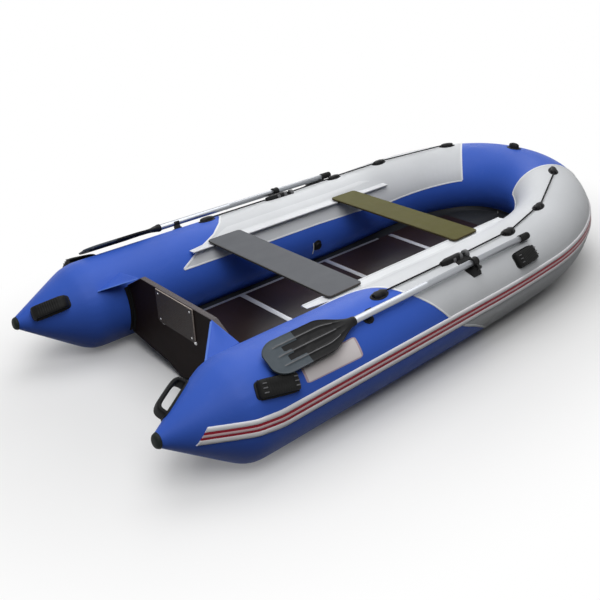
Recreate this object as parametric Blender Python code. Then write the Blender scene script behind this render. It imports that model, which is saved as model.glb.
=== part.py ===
"""Rigid-transom inflatable dinghy with plywood floor, sliding seats and a pair of oars.

Metres, +Z up, +X towards the bow, +Y to port. The origin is under the middle of the boat,
on the ground. Stations are distances forward of the stern tips, measured along the tubes.
"""
import bisect
import math

import bmesh
import bpy
from mathutils import Matrix, Vector

# Hull tubes
overall_length = 3.15
tube_radius = 0.21
tube_spacing = 1.18
tube_wall = 0.0012
tube_segments = 36
cone_end_radius = 0.033
cone_end_height = 0.240
cone_end_station = 0.010
cone_shoulder_station = 0.302
colour_seam_station = 1.10
colour_seam_slant = 0.29
sheer_start_station = 1.65
bow_rise = 0.11
bow_curve_run = 0.80
bow_curve_power = 2.15
side_tube_end_station = 2.10
bow_panel_reach = 0.328
bow_quarter_steps = 7
bow_panel_steps = 3

# Clearances
gap = 0.0003
running_gap = 0.0006

# Cone end caps
cap_wall = 0.0028
cap_skirt_length = 0.024
cap_nose_shares = (0.66, 0.92, 1.0)
cap_nose_depth_shares = (0.0, 0.35, 1.0)

# Bulkhead between the two air chambers
bulkhead_thickness = 0.003

# Rub strake
strake_top_angle = math.radians(163.5)
strake_bottom_angle = math.radians(182.5)
strake_thickness = 0.006
strake_groove = 0.002
strake_edge = 0.0026
strake_standoff = 0.0009
strake_stern_turn = math.radians(-6)
strake_turn_station = 0.50
strake_turn_steps = 5
strake_top_start = 0.135
strake_bottom_start = 0.091

# Bottom fabric and inflatable keel
fabric = 0.0015
bottom_edge_angle = math.radians(-50)
keel_depth = 0.0385
keel_half_width = 0.13
keel_column_shares = (0.0, 0.25, 0.5, 0.75, 1.0)
bilge_column_shares = (0.40, 0.86, 1.0)
bottom_end_half_width = 0.02
bottom_lip_clearance_angle = math.radians(1.5)
transom_deadrise = 0.034
transom_lip_steps = 3
keel_tube_start = 0.54
keel_tube_half_width = 0.105
keel_tube_segments = 16
keel_tube_end_share = 0.30
keel_tube_growth_shares = (0.0, 0.46, 0.79, 0.94, 1.0, 1.0, 1.0, 0.94, 0.79, 0.46, 0.0)
keel_seam_width = 0.008

# Transom
transom_station = 0.473
transom_thickness = 0.027
transom_top_height = 0.405
transom_top_half_width = 0.276
transom_shoulder_angle = math.radians(33)
transom_foot_angle = math.radians(-34)
transom_arc_steps = 8
transom_arc_margin = math.radians(2)
transom_edge_bevel = 0.002
motor_plate_half_width = 0.143
motor_plate_bottom = 0.243
motor_plate_lip = 0.003
motor_plate_thickness = 0.006
motor_plate_corner = 0.012
holder_standoff = 0.0008
holder_base_thickness = 0.003
holder_base_width = 0.062
holder_rib_height = 0.016
holder_rib_thickness = 0.004

# Gusset flaps between the transom and the tubes
gusset_aft_station = 0.336
gusset_aft_angle = math.radians(37.7)
gusset_fore_angle = math.radians(51.5)
gusset_steps = 6
gusset_tip_share = 0.05

# Floor
floor_top = 0.064
floor_thickness = 0.009
floor_half_width = 0.385
floor_joint_stations = (1.080, 1.675, 2.205)
floor_web = 0.003
floor_flange_reach = 0.014
profile_wall = 0.002
floor_ledge_clearance = 0.002
floor_ledge_riser = 0.001
floor_aft_ledge = 0.003
bow_board_end_reach = 0.55
bow_board_rise = 0.048
bow_board_rise_share = 0.75
bow_board_steps = 6
floor_corner = 0.010
stringer_end_station = 2.110

# Seats and their rails
seat_drop = 0.0264
seat_thickness = 0.010
seat_half_length = 0.451
seat_corner = 0.018
rear_seat_station = 1.049
rear_seat_width = 0.200
front_seat_station = 1.887
front_seat_width = 0.184
rail_start = 0.80
rail_end = 2.23
rail_inset = 0.405
bead_radius = 0.0045
rail_web = 0.002
rail_flange_angle = math.radians(13)
rail_bend_step = math.radians(1)
slide_wall = 0.0025
slide_slot = 0.0042
slide_length_share = 0.9

# Rowlocks and oars
rowlock_station = 1.60
rowlock_angle = math.radians(120)
oar_plane_height = 0.0340
swing_boss_radius = 0.020
swing_boss_height = 0.004
swing_pin_radius = 0.010
swing_pin_top = 0.0105
socket_wall = 0.004
ring_wall = 0.0055
ring_width = 0.036
clamp_ear_width = 0.016
clamp_ear_height = 0.016
clamp_ear_reach = 0.011
knob_radius = 0.014
knob_height = 0.012
knob_lobes = 5
knob_lobe_depth = 0.0016
shaft_radius = 0.015
shaft_wall = 0.0016
shaft_segments = 16
shaft_aft_reach = 0.795
shaft_fore_reach = 0.422
grip_radius = 0.0172
grip_length = 0.075
grip_end_cover = 0.008
grip_ribs = 4
grip_rib_height = 0.0012
blade_length = 0.430
blade_half_width = 0.074
blade_thickness = 0.006
blade_neck_radius = 0.0185
shaft_engagement = 0.035
socket_end_clearance = 0.005
blade_rib_height = 0.0055
blade_sections = 13
blade_points = 24

# Oar clips
clip_from_blade = 0.092
clip_width = 0.030
clip_foot_half = 0.024
clip_foot_thickness = 0.004
clip_wall = 0.004

# Rope holders and lifelines
rope_radius = 0.004
rope_clear = 0.0007
rope_height = 0.0095
rope_tie_stations = (1.072, 1.545, 1.997, 2.345, 2.830)
rope_tie_degrees = (100, 100, 100, 90, 90)
rope_step = 0.036
crown_size = (0.062, 0.036, 0.0185)
crown_length_shares = (-0.5, -0.28, 0.28, 0.5)
crown_width_shares = (0.55, 1.0, 1.0, 0.55)
crown_height_shares = (0.84, 1.0, 1.0, 0.84)
rowlock_crown_size = (0.150, 0.034, 0.024)
rowlock_pad_length = 0.100
rowlock_pad_thickness = 0.003
rowlock_pad_length_shares = (0.78, 1.0, 1.0, 0.92, 0.55)
bow_eye_size = (0.060, 0.036, 0.032)
bow_eye_hole = 0.009

# Valves
valve_station = 1.621
valve_angle = math.radians(-10)
valve_flange_radius = 0.027
valve_flange_height = 0.004
valve_neck_radius = 0.0160
valve_neck_height = 0.012
valve_cap_radius = 0.0205
valve_cap_height = 0.0135
valve_cap_wall = 0.0035
valve_cap_rib_depth = 0.0008
valve_segments = 20

# Carry handles: length, width, stand-off, bar thickness
cone_handle_station = 0.142
cone_handle_angle = math.radians(40)
cone_handle_size = (0.165, 0.070, 0.054, 0.012)
aft_handle_station = 0.404
aft_handle_angle = math.radians(140)
aft_handle_size = (0.195, 0.060, 0.030, 0.011)
fore_handle_station = 1.945
fore_handle_angle = math.radians(140)
fore_handle_size = (0.140, 0.070, 0.030, 0.011)
handle_clearance = 0.014
handle_along_shares = (-0.5, -0.43, -0.35, -0.29, -0.22, -0.11, 0.11, 0.22, 0.29, 0.35, 0.43, 0.5)
handle_rise_shares = (0.0, 0.0, 0.08, 0.45, 0.88, 1.0, 1.0, 0.88, 0.45, 0.08, 0.0, 0.0)
handle_width_shares = (0.55, 1.0, 1.0, 0.72, 0.58, 0.52, 0.52, 0.58, 0.72, 1.0, 1.0, 0.55)
handle_foot_share = 0.45

# Derived sizes
blade_mouth_reach = shaft_aft_reach - shaft_engagement
blade_socket_depth = shaft_engagement + socket_end_clearance
clip_station = rowlock_station - blade_mouth_reach + clip_from_blade
grip_end_reach = shaft_fore_reach + grip_end_cover
tube_centre_y = tube_spacing / 2
tube_centre_height = tube_radius * math.cos(math.pi / tube_segments)
bow_apex_x = overall_length - strake_thickness - tube_radius
straight_end_station = bow_apex_x - bow_curve_run
floor_underside = floor_top - floor_thickness
seat_top = 2 * tube_centre_height - seat_drop
floor_ledge_height = floor_top - profile_wall - gap
floor_ledge = floor_flange_reach + floor_ledge_clearance
floor_lift_station = floor_joint_stations[-1] + floor_web / 2 + floor_flange_reach
fabric_drop = profile_wall + gap + gap + fabric / 2
weld_depth = gap + tube_wall / 2
rope_tie_angles = [math.radians(degrees) for degrees in rope_tie_degrees]
rail_height = seat_top - seat_thickness - gap - slide_wall - running_gap - bead_radius

hull_blue = (0.035, 0.085, 0.40)
hull_grey = (0.72, 0.73, 0.74)
rubber_black = (0.015, 0.015, 0.017)
plywood_brown = (0.045, 0.022, 0.018)


def clear_scene():
    """Remove every object so that the model starts from nothing."""
    for item in list(bpy.data.objects):
        bpy.data.objects.remove(item, do_unlink=True)


def paint(item, colour, roughness, metallic=0.0):
    """Give an object its own Principled material."""
    finish = bpy.data.materials.new(item.name + "_finish")
    finish.use_nodes = True
    shader = finish.node_tree.nodes["Principled BSDF"]
    shader.inputs["Base Color"].default_value = (*colour, 1.0)
    shader.inputs["Roughness"].default_value = roughness
    shader.inputs["Metallic"].default_value = metallic
    item.data.materials.append(finish)
    return item


def add_object(name, shape, colour, roughness, metallic=0.0, parent=None, matrix=None):
    """Turn a bmesh into a named, painted, smooth-shaded object."""
    bmesh.ops.recalc_face_normals(shape, faces=shape.faces)
    mesh = bpy.data.meshes.new(name)
    shape.to_mesh(mesh)
    shape.free()
    mesh.shade_smooth()
    mesh.set_sharp_from_angle(angle=math.radians(35))
    item = bpy.data.objects.new(name, mesh)
    bpy.context.scene.collection.objects.link(item)
    item.parent = parent
    if matrix is not None:
        item.matrix_basis = matrix
    return paint(item, colour, roughness, metallic)


def add_empty(name, matrix):
    """Place an empty that carries the pieces turning or sliding about it."""
    item = bpy.data.objects.new(name, None)
    item.empty_display_size = tube_radius
    bpy.context.scene.collection.objects.link(item)
    item.matrix_basis = matrix
    return item


def add_guide(name, shape, parent=None):
    """Hidden operand of a Boolean."""
    guide = add_object(name, shape, rubber_black, 0.5, parent=parent)
    guide.hide_render = True
    guide.display_type = "WIRE"
    return guide


def fuse(item, guide):
    """Join a guide's shape to an object."""
    add_modifier(item, "BOOLEAN", operation="UNION", object=guide, solver="EXACT")


def add_modifier(item, kind, **settings):
    """Add one modifier to an object and set its values."""
    modifier = item.modifiers.new(kind.title(), kind)
    for key, value in settings.items():
        setattr(modifier, key, value)
    return modifier


def loft(rings, start_cap=True, end_cap=True, loop=False, into=None):
    """Skin rings of equal count with quads; loop joins the last ring to the first."""
    shape = into or bmesh.new()
    rows = [[shape.verts.new(point) for point in ring] for ring in rings]
    pairs = list(zip(rows, rows[1:]))
    if loop:
        pairs.append((rows[-1], rows[0]))
    for first, second in pairs:
        for index in range(len(first)):
            after = (index + 1) % len(first)
            shape.faces.new((first[index], first[after], second[after], second[index]))
    if start_cap and not loop:
        shape.faces.new(rows[0])
    if end_cap and not loop:
        shape.faces.new(rows[-1])
    return shape


def sheet(rows):
    """Skin a grid of points into an open surface."""
    shape = bmesh.new()
    grid = [[shape.verts.new(point) for point in row] for row in rows]
    for first, second in zip(grid, grid[1:]):
        for index in range(len(first) - 1):
            shape.faces.new((first[index], first[index + 1], second[index + 1], second[index]))
    return shape


def turned(profile, segments, into=None, transform=None, hollow=False):
    """Revolve (radius, height) pairs about Z; a hollow profile runs out and back in."""
    rings = []
    for radius, height in profile:
        ring = []
        for step in range(segments):
            turn = 2 * math.pi * step / segments
            point = Vector((radius * math.cos(turn), radius * math.sin(turn), height))
            ring.append(transform @ point if transform else point)
        rings.append(ring)
    return loft(rings, loop=hollow, into=into)


def station_x(station):
    """World x of a distance forward of the stern tips."""
    return station - overall_length / 2


def build_bow_table(samples=600):
    """Arc length against curve angle along the plan of the bow."""
    lengths, angles = [0.0], [0.0]
    previous = bow_plan(0.0)
    for step in range(1, samples + 1):
        angle = math.pi / 2 * step / samples
        point = bow_plan(angle)
        lengths.append(lengths[-1] + (point - previous).length)
        angles.append(angle)
        previous = point
    return lengths, angles


def bow_plan(angle):
    """Plan position of the tube centre on the bow curve, a superellipse quarter."""
    power = 2 / bow_curve_power
    along = straight_end_station + bow_curve_run * math.sin(angle) ** power
    across = tube_centre_y * max(0.0, math.cos(angle)) ** power
    return Vector((along, across))


bow_lengths, bow_angles = build_bow_table()
apex_station = straight_end_station + bow_lengths[-1]
bow_seam_station = apex_station - bow_panel_reach


def plan_point(station):
    """Distance from the stern and from the centre plane of the tube centre."""
    if station <= straight_end_station:
        return Vector((station, tube_centre_y))
    run = min(station - straight_end_station, bow_lengths[-1])
    index = max(1, min(bisect.bisect_left(bow_lengths, run), len(bow_lengths) - 1))
    low, high = bow_lengths[index - 1], bow_lengths[index]
    share = (run - low) / (high - low)
    return bow_plan(bow_angles[index - 1] + share * (bow_angles[index] - bow_angles[index - 1]))


def centre_height(station):
    """Height of the tube centre: level amidships, raised at the cones and the bow."""
    if station < cone_shoulder_station:
        share = (cone_shoulder_station - station) / (cone_shoulder_station - cone_end_station)
        return tube_centre_height + share * (cone_end_height - tube_centre_height)
    along = plan_point(station).x
    run = max(0.0, along - sheer_start_station) / (bow_apex_x - sheer_start_station)
    return tube_centre_height + bow_rise * run ** 2


def radius_at(station):
    """Outer tube radius, which tapers along the stern cone."""
    if station >= cone_shoulder_station:
        return tube_radius
    share = (station - cone_end_station) / (cone_shoulder_station - cone_end_station)
    return cone_end_radius + share * (tube_radius - cone_end_radius)


def centre_point(station):
    """Tube centre on the port side."""
    plan = plan_point(station)
    return Vector((station_x(plan.x), plan.y, centre_height(station)))


def tube_frame(station):
    """Centre, inward and upward directions square to the port tube."""
    tangent = Vector((1, 0, 0))
    if station > sheer_start_station:
        reach = bow_curve_run / 1000
        after = min(station + reach, apex_station)
        tangent = (centre_point(after) - centre_point(after - 2 * reach)).normalized()
        if station >= apex_station - reach:
            tangent = Vector((0, -1, 0))
    inward = Vector((tangent.y, -tangent.x, 0)).normalized()
    return centre_point(station), inward, inward.cross(tangent)


def tube_point(station, angle, offset=0.0, side=1):
    """Point at an angle round the tube: 0 inboard, 90 degrees on top, 180 outboard."""
    centre, inward, upward = tube_frame(station)
    radius = radius_at(station) + offset
    point = centre + radius * (math.cos(angle) * inward + math.sin(angle) * upward)
    return Vector((point.x, point.y * side, point.z))


def facet_angles():
    """Angles of the ridges between the tube's flats; one flat faces straight down."""
    return [2 * math.pi * (step + 0.5) / tube_segments for step in range(tube_segments)]


def tube_ring(station, offset=0.0, side=1):
    """Ring of points round the tube; station may be a function of angle and offset."""
    ring = []
    for angle in facet_angles():
        place = station(angle, offset) if callable(station) else station
        ring.append(tube_point(place, angle, offset, side))
    return ring


def spaced(first, last, steps):
    """Evenly spaced values, both ends included."""
    return [first + (last - first) * step / steps for step in range(steps + 1)]


def side_tube_stations():
    """Rings of the side tube forward of the colour seam; none falls under the handle."""
    reach = fore_handle_size[0] / 2 + handle_clearance
    aft, fore = fore_handle_station - reach, fore_handle_station + reach
    return [sheer_start_station, aft, fore, side_tube_end_station]


def bow_quarter_stations():
    """Stations of the bow quarter's rings."""
    return [side_tube_end_station + gap] + spaced(floor_lift_station, bow_seam_station, bow_quarter_steps)


def bow_panel_stations():
    """Stations of half the blue bow panel's rings."""
    return spaced(bow_seam_station + gap, apex_station, bow_panel_steps)


def ring_stations():
    """Every ring of a tube forward of the level part, for pieces that follow it."""
    return side_tube_stations() + bow_quarter_stations()[1:] + bow_panel_stations()[1:]


def seat_frame(station, angle, side):
    """Matrix on the tube's flat facet: X along the tube, Z straight out from it."""
    stations = [cone_end_station, cone_shoulder_station] + ring_stations()
    index = max(1, min(bisect.bisect_right(stations, station), len(stations) - 1))
    low, high = stations[index - 1], stations[index]
    half = math.pi / tube_segments
    corners = [tube_point(place, angle + turn, 0.0, side) for place in (low, high) for turn in (-half, half)]
    share = (station - low) / (high - low)
    aft = (corners[0] + corners[1]) / 2
    fore = (corners[2] + corners[3]) / 2
    along = (fore - aft).normalized()
    across = (corners[1] - corners[0]).normalized()
    outward = along.cross(across) * side
    outward.normalize()
    sideways = outward.cross(along)
    origin = aft.lerp(fore, share) + gap * outward
    frame = Matrix((along, sideways, outward)).transposed().to_4x4()
    return Matrix.Translation(origin) @ frame


def tube_skin(places):
    """Thin skin through rings at (station, side) places; inside it has half the flats."""
    shape = loft([tube_ring(station, 0.0, side) for station, side in places], False, False)
    shape.verts.ensure_lookup_table()
    outer = [vert for vert in shape.verts]
    rows = [tube_ring(station, -tube_wall, side)[::2] for station, side in places]
    inner = [[shape.verts.new(point) for point in row] for row in rows]
    half = len(rows[0])
    for first, second in zip(inner, inner[1:]):
        for index in range(half):
            after = (index + 1) % half
            shape.faces.new((first[index], second[index], second[after], first[after]))
    for ring, row in ((outer[:tube_segments], inner[0]), (outer[-tube_segments:], inner[-1])):
        for index in range(half):
            rim = [ring[2 * index], ring[2 * index + 1], ring[(2 * index + 2) % tube_segments]]
            shape.faces.new(rim + [row[(index + 1) % half], row[index]])
    return shape


def tube_section(name, places, colour, fittings):
    """Airtight fabric skin between two seams, with the fittings welded to it."""
    tube = add_object(name, tube_skin(places), colour, 0.42)
    fuse(tube, add_guide(name + "_fittings", fittings))


def colour_seam(angle, offset):
    """Slanted plane of the seam between the blue stern and the grey side panels."""
    return colour_seam_station - colour_seam_slant * math.cos(angle) * (1 + offset / tube_radius)


def colour_seam_after(angle, offset):
    """The same seam, one clearance further forward."""
    return colour_seam(angle, offset) + gap


def make_tubes():
    """Stern, side and bow sections of the U-shaped buoyancy tube."""
    for side, label in ((1, "port"), (-1, "starboard")):
        aft = [cone_end_station, cone_shoulder_station, colour_seam]
        middle = [colour_seam_after] + side_tube_stations()
        ties = rope_tie_stations
        for name, stations, tied in (("stern_tube_", aft, ties[:1]), ("side_tube_", middle, ties[2:3]),
                                     ("bow_quarter_", bow_quarter_stations(), ties[3:])):
            fittings = bmesh.new()
            for tie in tied:
                rope_crown(fittings, tie, side)
            if name == "side_tube_":
                valve_body(fittings, side)
            colour = hull_blue if name == "stern_tube_" else hull_grey
            tube_section(name + label, [(station, side) for station in stations], colour, fittings)
    half = bow_panel_stations()
    places = [(station, 1) for station in half] + [(station, -1) for station in half[-2::-1]]
    fittings = bmesh.new()
    bow_eye(fittings)
    tube_section("bow_tube", places, hull_blue, fittings)


def make_bulkhead():
    """Diaphragm across the bow tube that parts the port and starboard chambers."""
    shift = Vector((0, bulkhead_thickness / 2, 0))
    ring = tube_ring(apex_station, -tube_wall - running_gap)[::2]
    shape = loft([[point - shift for point in ring], [point + shift for point in ring]])
    add_object("bow_bulkhead", shape, hull_grey, 0.5)


def make_cone_caps():
    """Moulded caps over the open ends of the stern cones."""
    skirt = cone_end_station + cap_skirt_length
    nose_end = cone_end_station + gap
    for side, label in ((1, "port"), (-1, "starboard")):
        rings = []
        for width, depth in zip(cap_nose_shares, cap_nose_depth_shares):
            lip = nose_end * depth
            offset = (cone_end_radius + cap_wall) * width - radius_at(lip)
            rings.append(tube_ring(lip, offset, side))
        rings.append(tube_ring(skirt, cap_wall, side))
        rings.append(tube_ring(skirt, running_gap, side))
        rings.append(tube_ring(cone_end_station - gap, running_gap, side))
        add_object("cone_cap_" + label, loft(rings), rubber_black, 0.55)


def strake_section():
    """Angle and height of each corner of the strake: two ridges with a groove between."""
    span = strake_bottom_angle - strake_top_angle
    low = strake_thickness - strake_groove
    base, edge, crest = strake_standoff, strake_edge, strake_thickness
    shares = (0.0, 0.0, 0.07, 0.28, 0.34, 0.62, 0.68, 0.93, 1.0, 1.0, 0.67, 0.33)
    heights = (base, edge, crest, crest, low, low, crest, crest, edge, base, base, base)
    return [(strake_top_angle + span * share, height) for share, height in zip(shares, heights)]


def strake_ring(station, side):
    """One section of the strake, turned upward towards the stern."""
    turn = strake_stern_turn * smooth_step((strake_turn_station - station) /
                                           (strake_turn_station - cone_shoulder_station))
    return [tube_point(station, angle + turn, height, side) for angle, height in strake_section()]


def strake_start_ring(side):
    """Slanted aft end of the strake, on the stern cone."""
    span = strake_bottom_angle - strake_top_angle
    ring = []
    for angle, height in strake_section():
        share = (angle - strake_top_angle) / span
        place = strake_top_start + share * (strake_bottom_start - strake_top_start)
        ring.append(tube_point(place, angle + strake_stern_turn, height, side))
    return ring


def make_strake():
    """Rub strake, one length from stern to stern round the bow."""
    half = spaced(cone_shoulder_station, strake_turn_station, strake_turn_steps) + ring_stations()
    rings = [strake_start_ring(1)] + [strake_ring(place, 1) for place in half]
    rings += [strake_ring(place, -1) for place in half[-2::-1]] + [strake_start_ring(-1)]
    add_object("rub_strake", loft(rings), (0.74, 0.73, 0.74), 0.45)


def smooth_step(value):
    """Ease from 0 to 1."""
    value = max(0.0, min(1.0, value))
    return value * value * (3 - 2 * value)


def floor_lift(along):
    """How far the bow board climbs above the level floor."""
    share = (along - floor_lift_station) / (bow_board_end_reach * bow_board_rise_share)
    return bow_board_rise * max(0.0, share) ** 1.5


def bottom_row(station):
    """Points across the middle of the bottom fabric, from the centre to its port edge."""
    fore_face = transom_station + transom_thickness
    raised = max(0.0, min(1.0, (fore_face - station) / transom_thickness))
    low_angle = transom_foot_angle - bottom_lip_clearance_angle
    edge_angle = bottom_edge_angle + raised * (low_angle - bottom_edge_angle)
    edge = tube_point(station, edge_angle, fabric / 2 + running_gap)
    along = edge.x + overall_length / 2
    flat = floor_underside - fabric_drop + floor_lift(along)
    fade = min(1.0, edge.y / (tube_centre_y - tube_radius))
    keel_edge = keel_half_width * fade
    row = []
    for share in keel_column_shares:
        row.append(Vector((edge.x, share * keel_edge, flat - keel_depth * fade * (1 - smooth_step(share)))))
    for share in bilge_column_shares:
        across = keel_edge + share * (edge.y - keel_edge)
        row.append(Vector((edge.x, across, flat + transom_deadrise * raised * share)))
    row[-1].z = edge.z
    return row


def make_bottom():
    """Hull bottom fabric, stretched between the tubes and pushed down by the keel."""
    lip = spaced(transom_station, transom_station + transom_thickness, transom_lip_steps)
    rows = []
    for station in lip + [colour_seam_station] + ring_stations():
        half = bottom_row(station)
        if half[-1].y < bottom_end_half_width:
            break
        mirrored = [Vector((point.x, -point.y, point.z)) for point in half[:0:-1]]
        rows.append(mirrored + half)
    item = add_object("hull_bottom", sheet(rows), (0.16, 0.17, 0.19), 0.6)
    add_modifier(item, "SOLIDIFY", thickness=fabric, offset=0.0)


def bottom_height(along, across):
    """Height of the middle of the bottom fabric over the level part."""
    row = bottom_row(along)
    for first, second in zip(row, row[1:]):
        if first.y <= across <= second.y:
            share = (across - first.y) / (second.y - first.y)
            return first.z + share * (second.z - first.z)
    return row[-1].z


def keel_ring(along, scale, inner):
    """Section of the inflatable keel, which fills the space under the floor and is seamed at its edges."""
    half_width = keel_tube_half_width * (0.4 + 0.6 * scale)
    reach = half_width - keel_seam_width if inner else half_width
    ring = []
    for step in range(keel_tube_segments):
        turn = 2 * math.pi * step / keel_tube_segments
        across = reach * math.cos(turn)
        top = floor_underside - running_gap - profile_wall
        bottom = bottom_height(along, abs(across)) + fabric / 2 + running_gap
        rise = (top - bottom) / 2 * scale * max(0.0, 1 - (across / half_width) ** 2) ** 0.35
        if inner:
            rise = max(0.0, rise - tube_wall)
        if step % (keel_tube_segments // 2) == 0:
            rise = 0.0
        height = (top + bottom) / 2 + math.copysign(rise, math.sin(turn))
        ring.append(Vector((station_x(along), across, height)))
    return ring


def make_keel():
    """Inflatable keel tube with its filling mouth at the aft end."""
    scales = [keel_tube_end_share + (1 - keel_tube_end_share) * share for share in keel_tube_growth_shares]
    stations = spaced(keel_tube_start, straight_end_station, len(scales) - 1)
    outer = [keel_ring(place, scale, False) for place, scale in zip(stations, scales)]
    inner = [keel_ring(place, scale, True) for place, scale in zip(stations[:-1], scales[:-1])]
    add_object("inflatable_keel", loft(outer[::-1] + inner), hull_grey, 0.6)


def outline_plate(name, outline, place, thickness, colour, roughness, bevel):
    """Plate with a Y-Z outline, extruded forward from a station, with eased edges."""
    shape = bmesh.new()
    aft = [shape.verts.new((station_x(place), across, height)) for across, height in outline]
    face = shape.faces.new(aft)
    pushed = bmesh.ops.extrude_face_region(shape, geom=[face])
    moved = [part for part in pushed["geom"] if isinstance(part, bmesh.types.BMVert)]
    bmesh.ops.translate(shape, verts=moved, vec=(thickness, 0, 0))
    item = add_object(name, shape, colour, roughness)
    add_modifier(item, "BEVEL", width=bevel, segments=1, limit_method="ANGLE", angle_limit=math.radians(50))
    return item


def transom_arc_angles():
    """Angles of the points that the transom's sides share with the holders."""
    return spaced(transom_shoulder_angle, transom_foot_angle, transom_arc_steps)


def transom_outline():
    """Half-hexagon board whose sides follow the tubes and whose foot follows the bottom."""
    reach = tube_radius + holder_standoff + holder_base_thickness + running_gap
    foot_y = tube_centre_y - reach * math.cos(transom_foot_angle)
    port = [(transom_top_half_width, transom_top_height)]
    for angle in transom_arc_angles():
        across = tube_centre_y - reach * math.cos(angle)
        port.append((across, tube_centre_height + reach * math.sin(angle)))
    row = bottom_row(transom_station)
    foot = [point for point in row if 0 < point.y < foot_y - holder_base_thickness]
    clear = fabric / 2 + gap
    port += [(point.y, point.z + clear) for point in foot[::-1]]
    centre = [(0.0, row[0].z + clear)]
    starboard = [(-across, height) for across, height in port[::-1]]
    return port + centre + starboard


def make_transom():
    """Transom board, its motor plate and the side holders."""
    outline_plate("transom_board", transom_outline(), transom_station, transom_thickness,
                  plywood_brown, 0.35, transom_edge_bevel)
    corner = motor_plate_corner
    half, low, high = motor_plate_half_width, motor_plate_bottom, transom_top_height - motor_plate_lip
    outline = [(half, high), (half, low + corner), (half - corner, low),
               (-half + corner, low), (-half, low + corner), (-half, high)]
    outline_plate("motor_plate", outline, transom_station - motor_plate_thickness - gap,
                  motor_plate_thickness, (0.07, 0.05, 0.04), 0.4, motor_plate_thickness / 5)
    make_transom_holders()


def holder_section(angle, side):
    """U-shaped section of a transom holder at an angle round the tube."""
    aft = transom_station - gap
    fore = transom_station + transom_thickness + gap
    middle = (aft + fore) / 2
    base = holder_standoff + holder_base_thickness
    rib = base + holder_rib_height
    half = holder_base_width / 2
    corners = [
        (middle - half, holder_standoff), (middle + half, holder_standoff), (middle + half, base),
        (fore + holder_rib_thickness, base), (fore + holder_rib_thickness, rib), (fore, rib), (fore, base),
        (aft, base), (aft, rib), (aft - holder_rib_thickness, rib), (aft - holder_rib_thickness, base),
        (middle - half, base),
    ]
    ring = []
    for place, offset in corners:
        radius = tube_radius + offset
        across = side * (tube_centre_y - radius * math.cos(angle))
        ring.append(Vector((station_x(place), across, tube_centre_height + radius * math.sin(angle))))
    return ring


def make_transom_holders():
    """Moulded U-channels on the tubes that grip the transom's sides."""
    margin = transom_arc_margin
    angles = transom_arc_angles()
    angles[0] -= margin
    angles[-1] += margin
    for side, label in ((1, "port"), (-1, "starboard")):
        rings = [holder_section(angle, side) for angle in angles]
        add_object("transom_holder_" + label, loft(rings), rubber_black, 0.6)


def make_gussets():
    """Triangular fabric flaps from the transom's top corners to the tubes."""
    reach = fabric / 2 + running_gap
    fore = transom_station - running_gap
    tip = Vector((station_x(fore), transom_top_half_width, transom_top_height))
    last = tube_point(gusset_aft_station, gusset_aft_angle, reach)
    for side, label in ((1, "port"), (-1, "starboard")):
        rows = []
        for share in spaced(0.0, 1.0, gusset_steps):
            place = gusset_aft_station + share * (fore - gusset_aft_station)
            angle = gusset_aft_angle + share * (gusset_fore_angle - gusset_aft_angle)
            foot = tube_point(place, angle, reach)
            start = tip.lerp(last, gusset_tip_share * (1 - share))
            rows.append([start.lerp(foot, part) for part in spaced(0.0, 1.0, 3)])
        rows = [[Vector((point.x, point.y * side, point.z)) for point in row] for row in rows]
        item = add_object("gusset_" + label, sheet(rows), hull_blue, 0.42)
        add_modifier(item, "SOLIDIFY", thickness=fabric, offset=0.0)


def board_outline(aft, fore, half, corner):
    """Rounded rectangle in plan."""
    cut = corner * 0.3
    port = [(aft, half - corner), (aft + cut, half - cut), (aft + corner, half),
            (fore - corner, half), (fore - cut, half - cut), (fore, half - corner)]
    return port + [(along, -across) for along, across in port[::-1]]


def rebated_board(name, aft, fore, aft_ledge):
    """Floor board with ledges let in along its edges, on which the profiles' lips lie flush."""
    levels = ((0.0, 0.0, floor_underside), (0.0, 0.0, floor_ledge_height),
              (aft_ledge, floor_ledge, floor_ledge_height),
              (aft_ledge + floor_ledge_riser, floor_ledge + floor_ledge_riser, floor_top))
    rings = []
    for aft_inset, inset, height in levels:
        outline = board_outline(aft + aft_inset, fore - inset, floor_half_width - inset, floor_corner)
        rings.append([Vector((station_x(along), across, height)) for along, across in outline])
    add_object(name, loft(rings), plywood_brown, 0.3)


def make_floor_boards():
    """Three flat boards and the bow board that climbs with the bottom."""
    joint_gap = floor_web / 2 + running_gap
    starts = (transom_station + transom_thickness + running_gap, floor_joint_stations[0] + joint_gap,
              floor_joint_stations[1] + joint_gap)
    names = ("floor_board_aft", "floor_board_middle", "floor_board_fore")
    ledges = (floor_aft_ledge, floor_ledge, floor_ledge)
    for name, start, joint, ledge in zip(names, starts, floor_joint_stations, ledges):
        rebated_board(name, start, joint - joint_gap, ledge)
    make_bow_board(floor_joint_stations[-1] + joint_gap)


def make_bow_board(start):
    """Tapered board under the bow, bent up to follow the sheer."""
    inset = tube_centre_y - floor_half_width
    edges = []
    foot = floor_lift_station + floor_ledge_clearance
    ledge_places = (start, foot, foot + floor_ledge_riser)
    for place in [start, foot] + spaced(ledge_places[-1], start + bow_board_end_reach, bow_board_steps):
        centre, inward, _ = tube_frame(place)
        edges.append(centre + inset * inward)
    shift = station_x(start) - edges[0].x
    rings = []
    for index, edge in enumerate(edges):
        along = ledge_places[index] if index < len(ledge_places) else edge.x + shift + overall_length / 2
        low = floor_underside + floor_lift(along)
        high = floor_ledge_height if index < 2 else low + floor_thickness
        corners = [(edge.y, low), (edge.y, high), (-edge.y, high), (-edge.y, low)]
        rings.append([Vector((station_x(along), across, height)) for across, height in corners])
    add_object("floor_board_bow", loft(rings), plywood_brown, 0.3)


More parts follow.
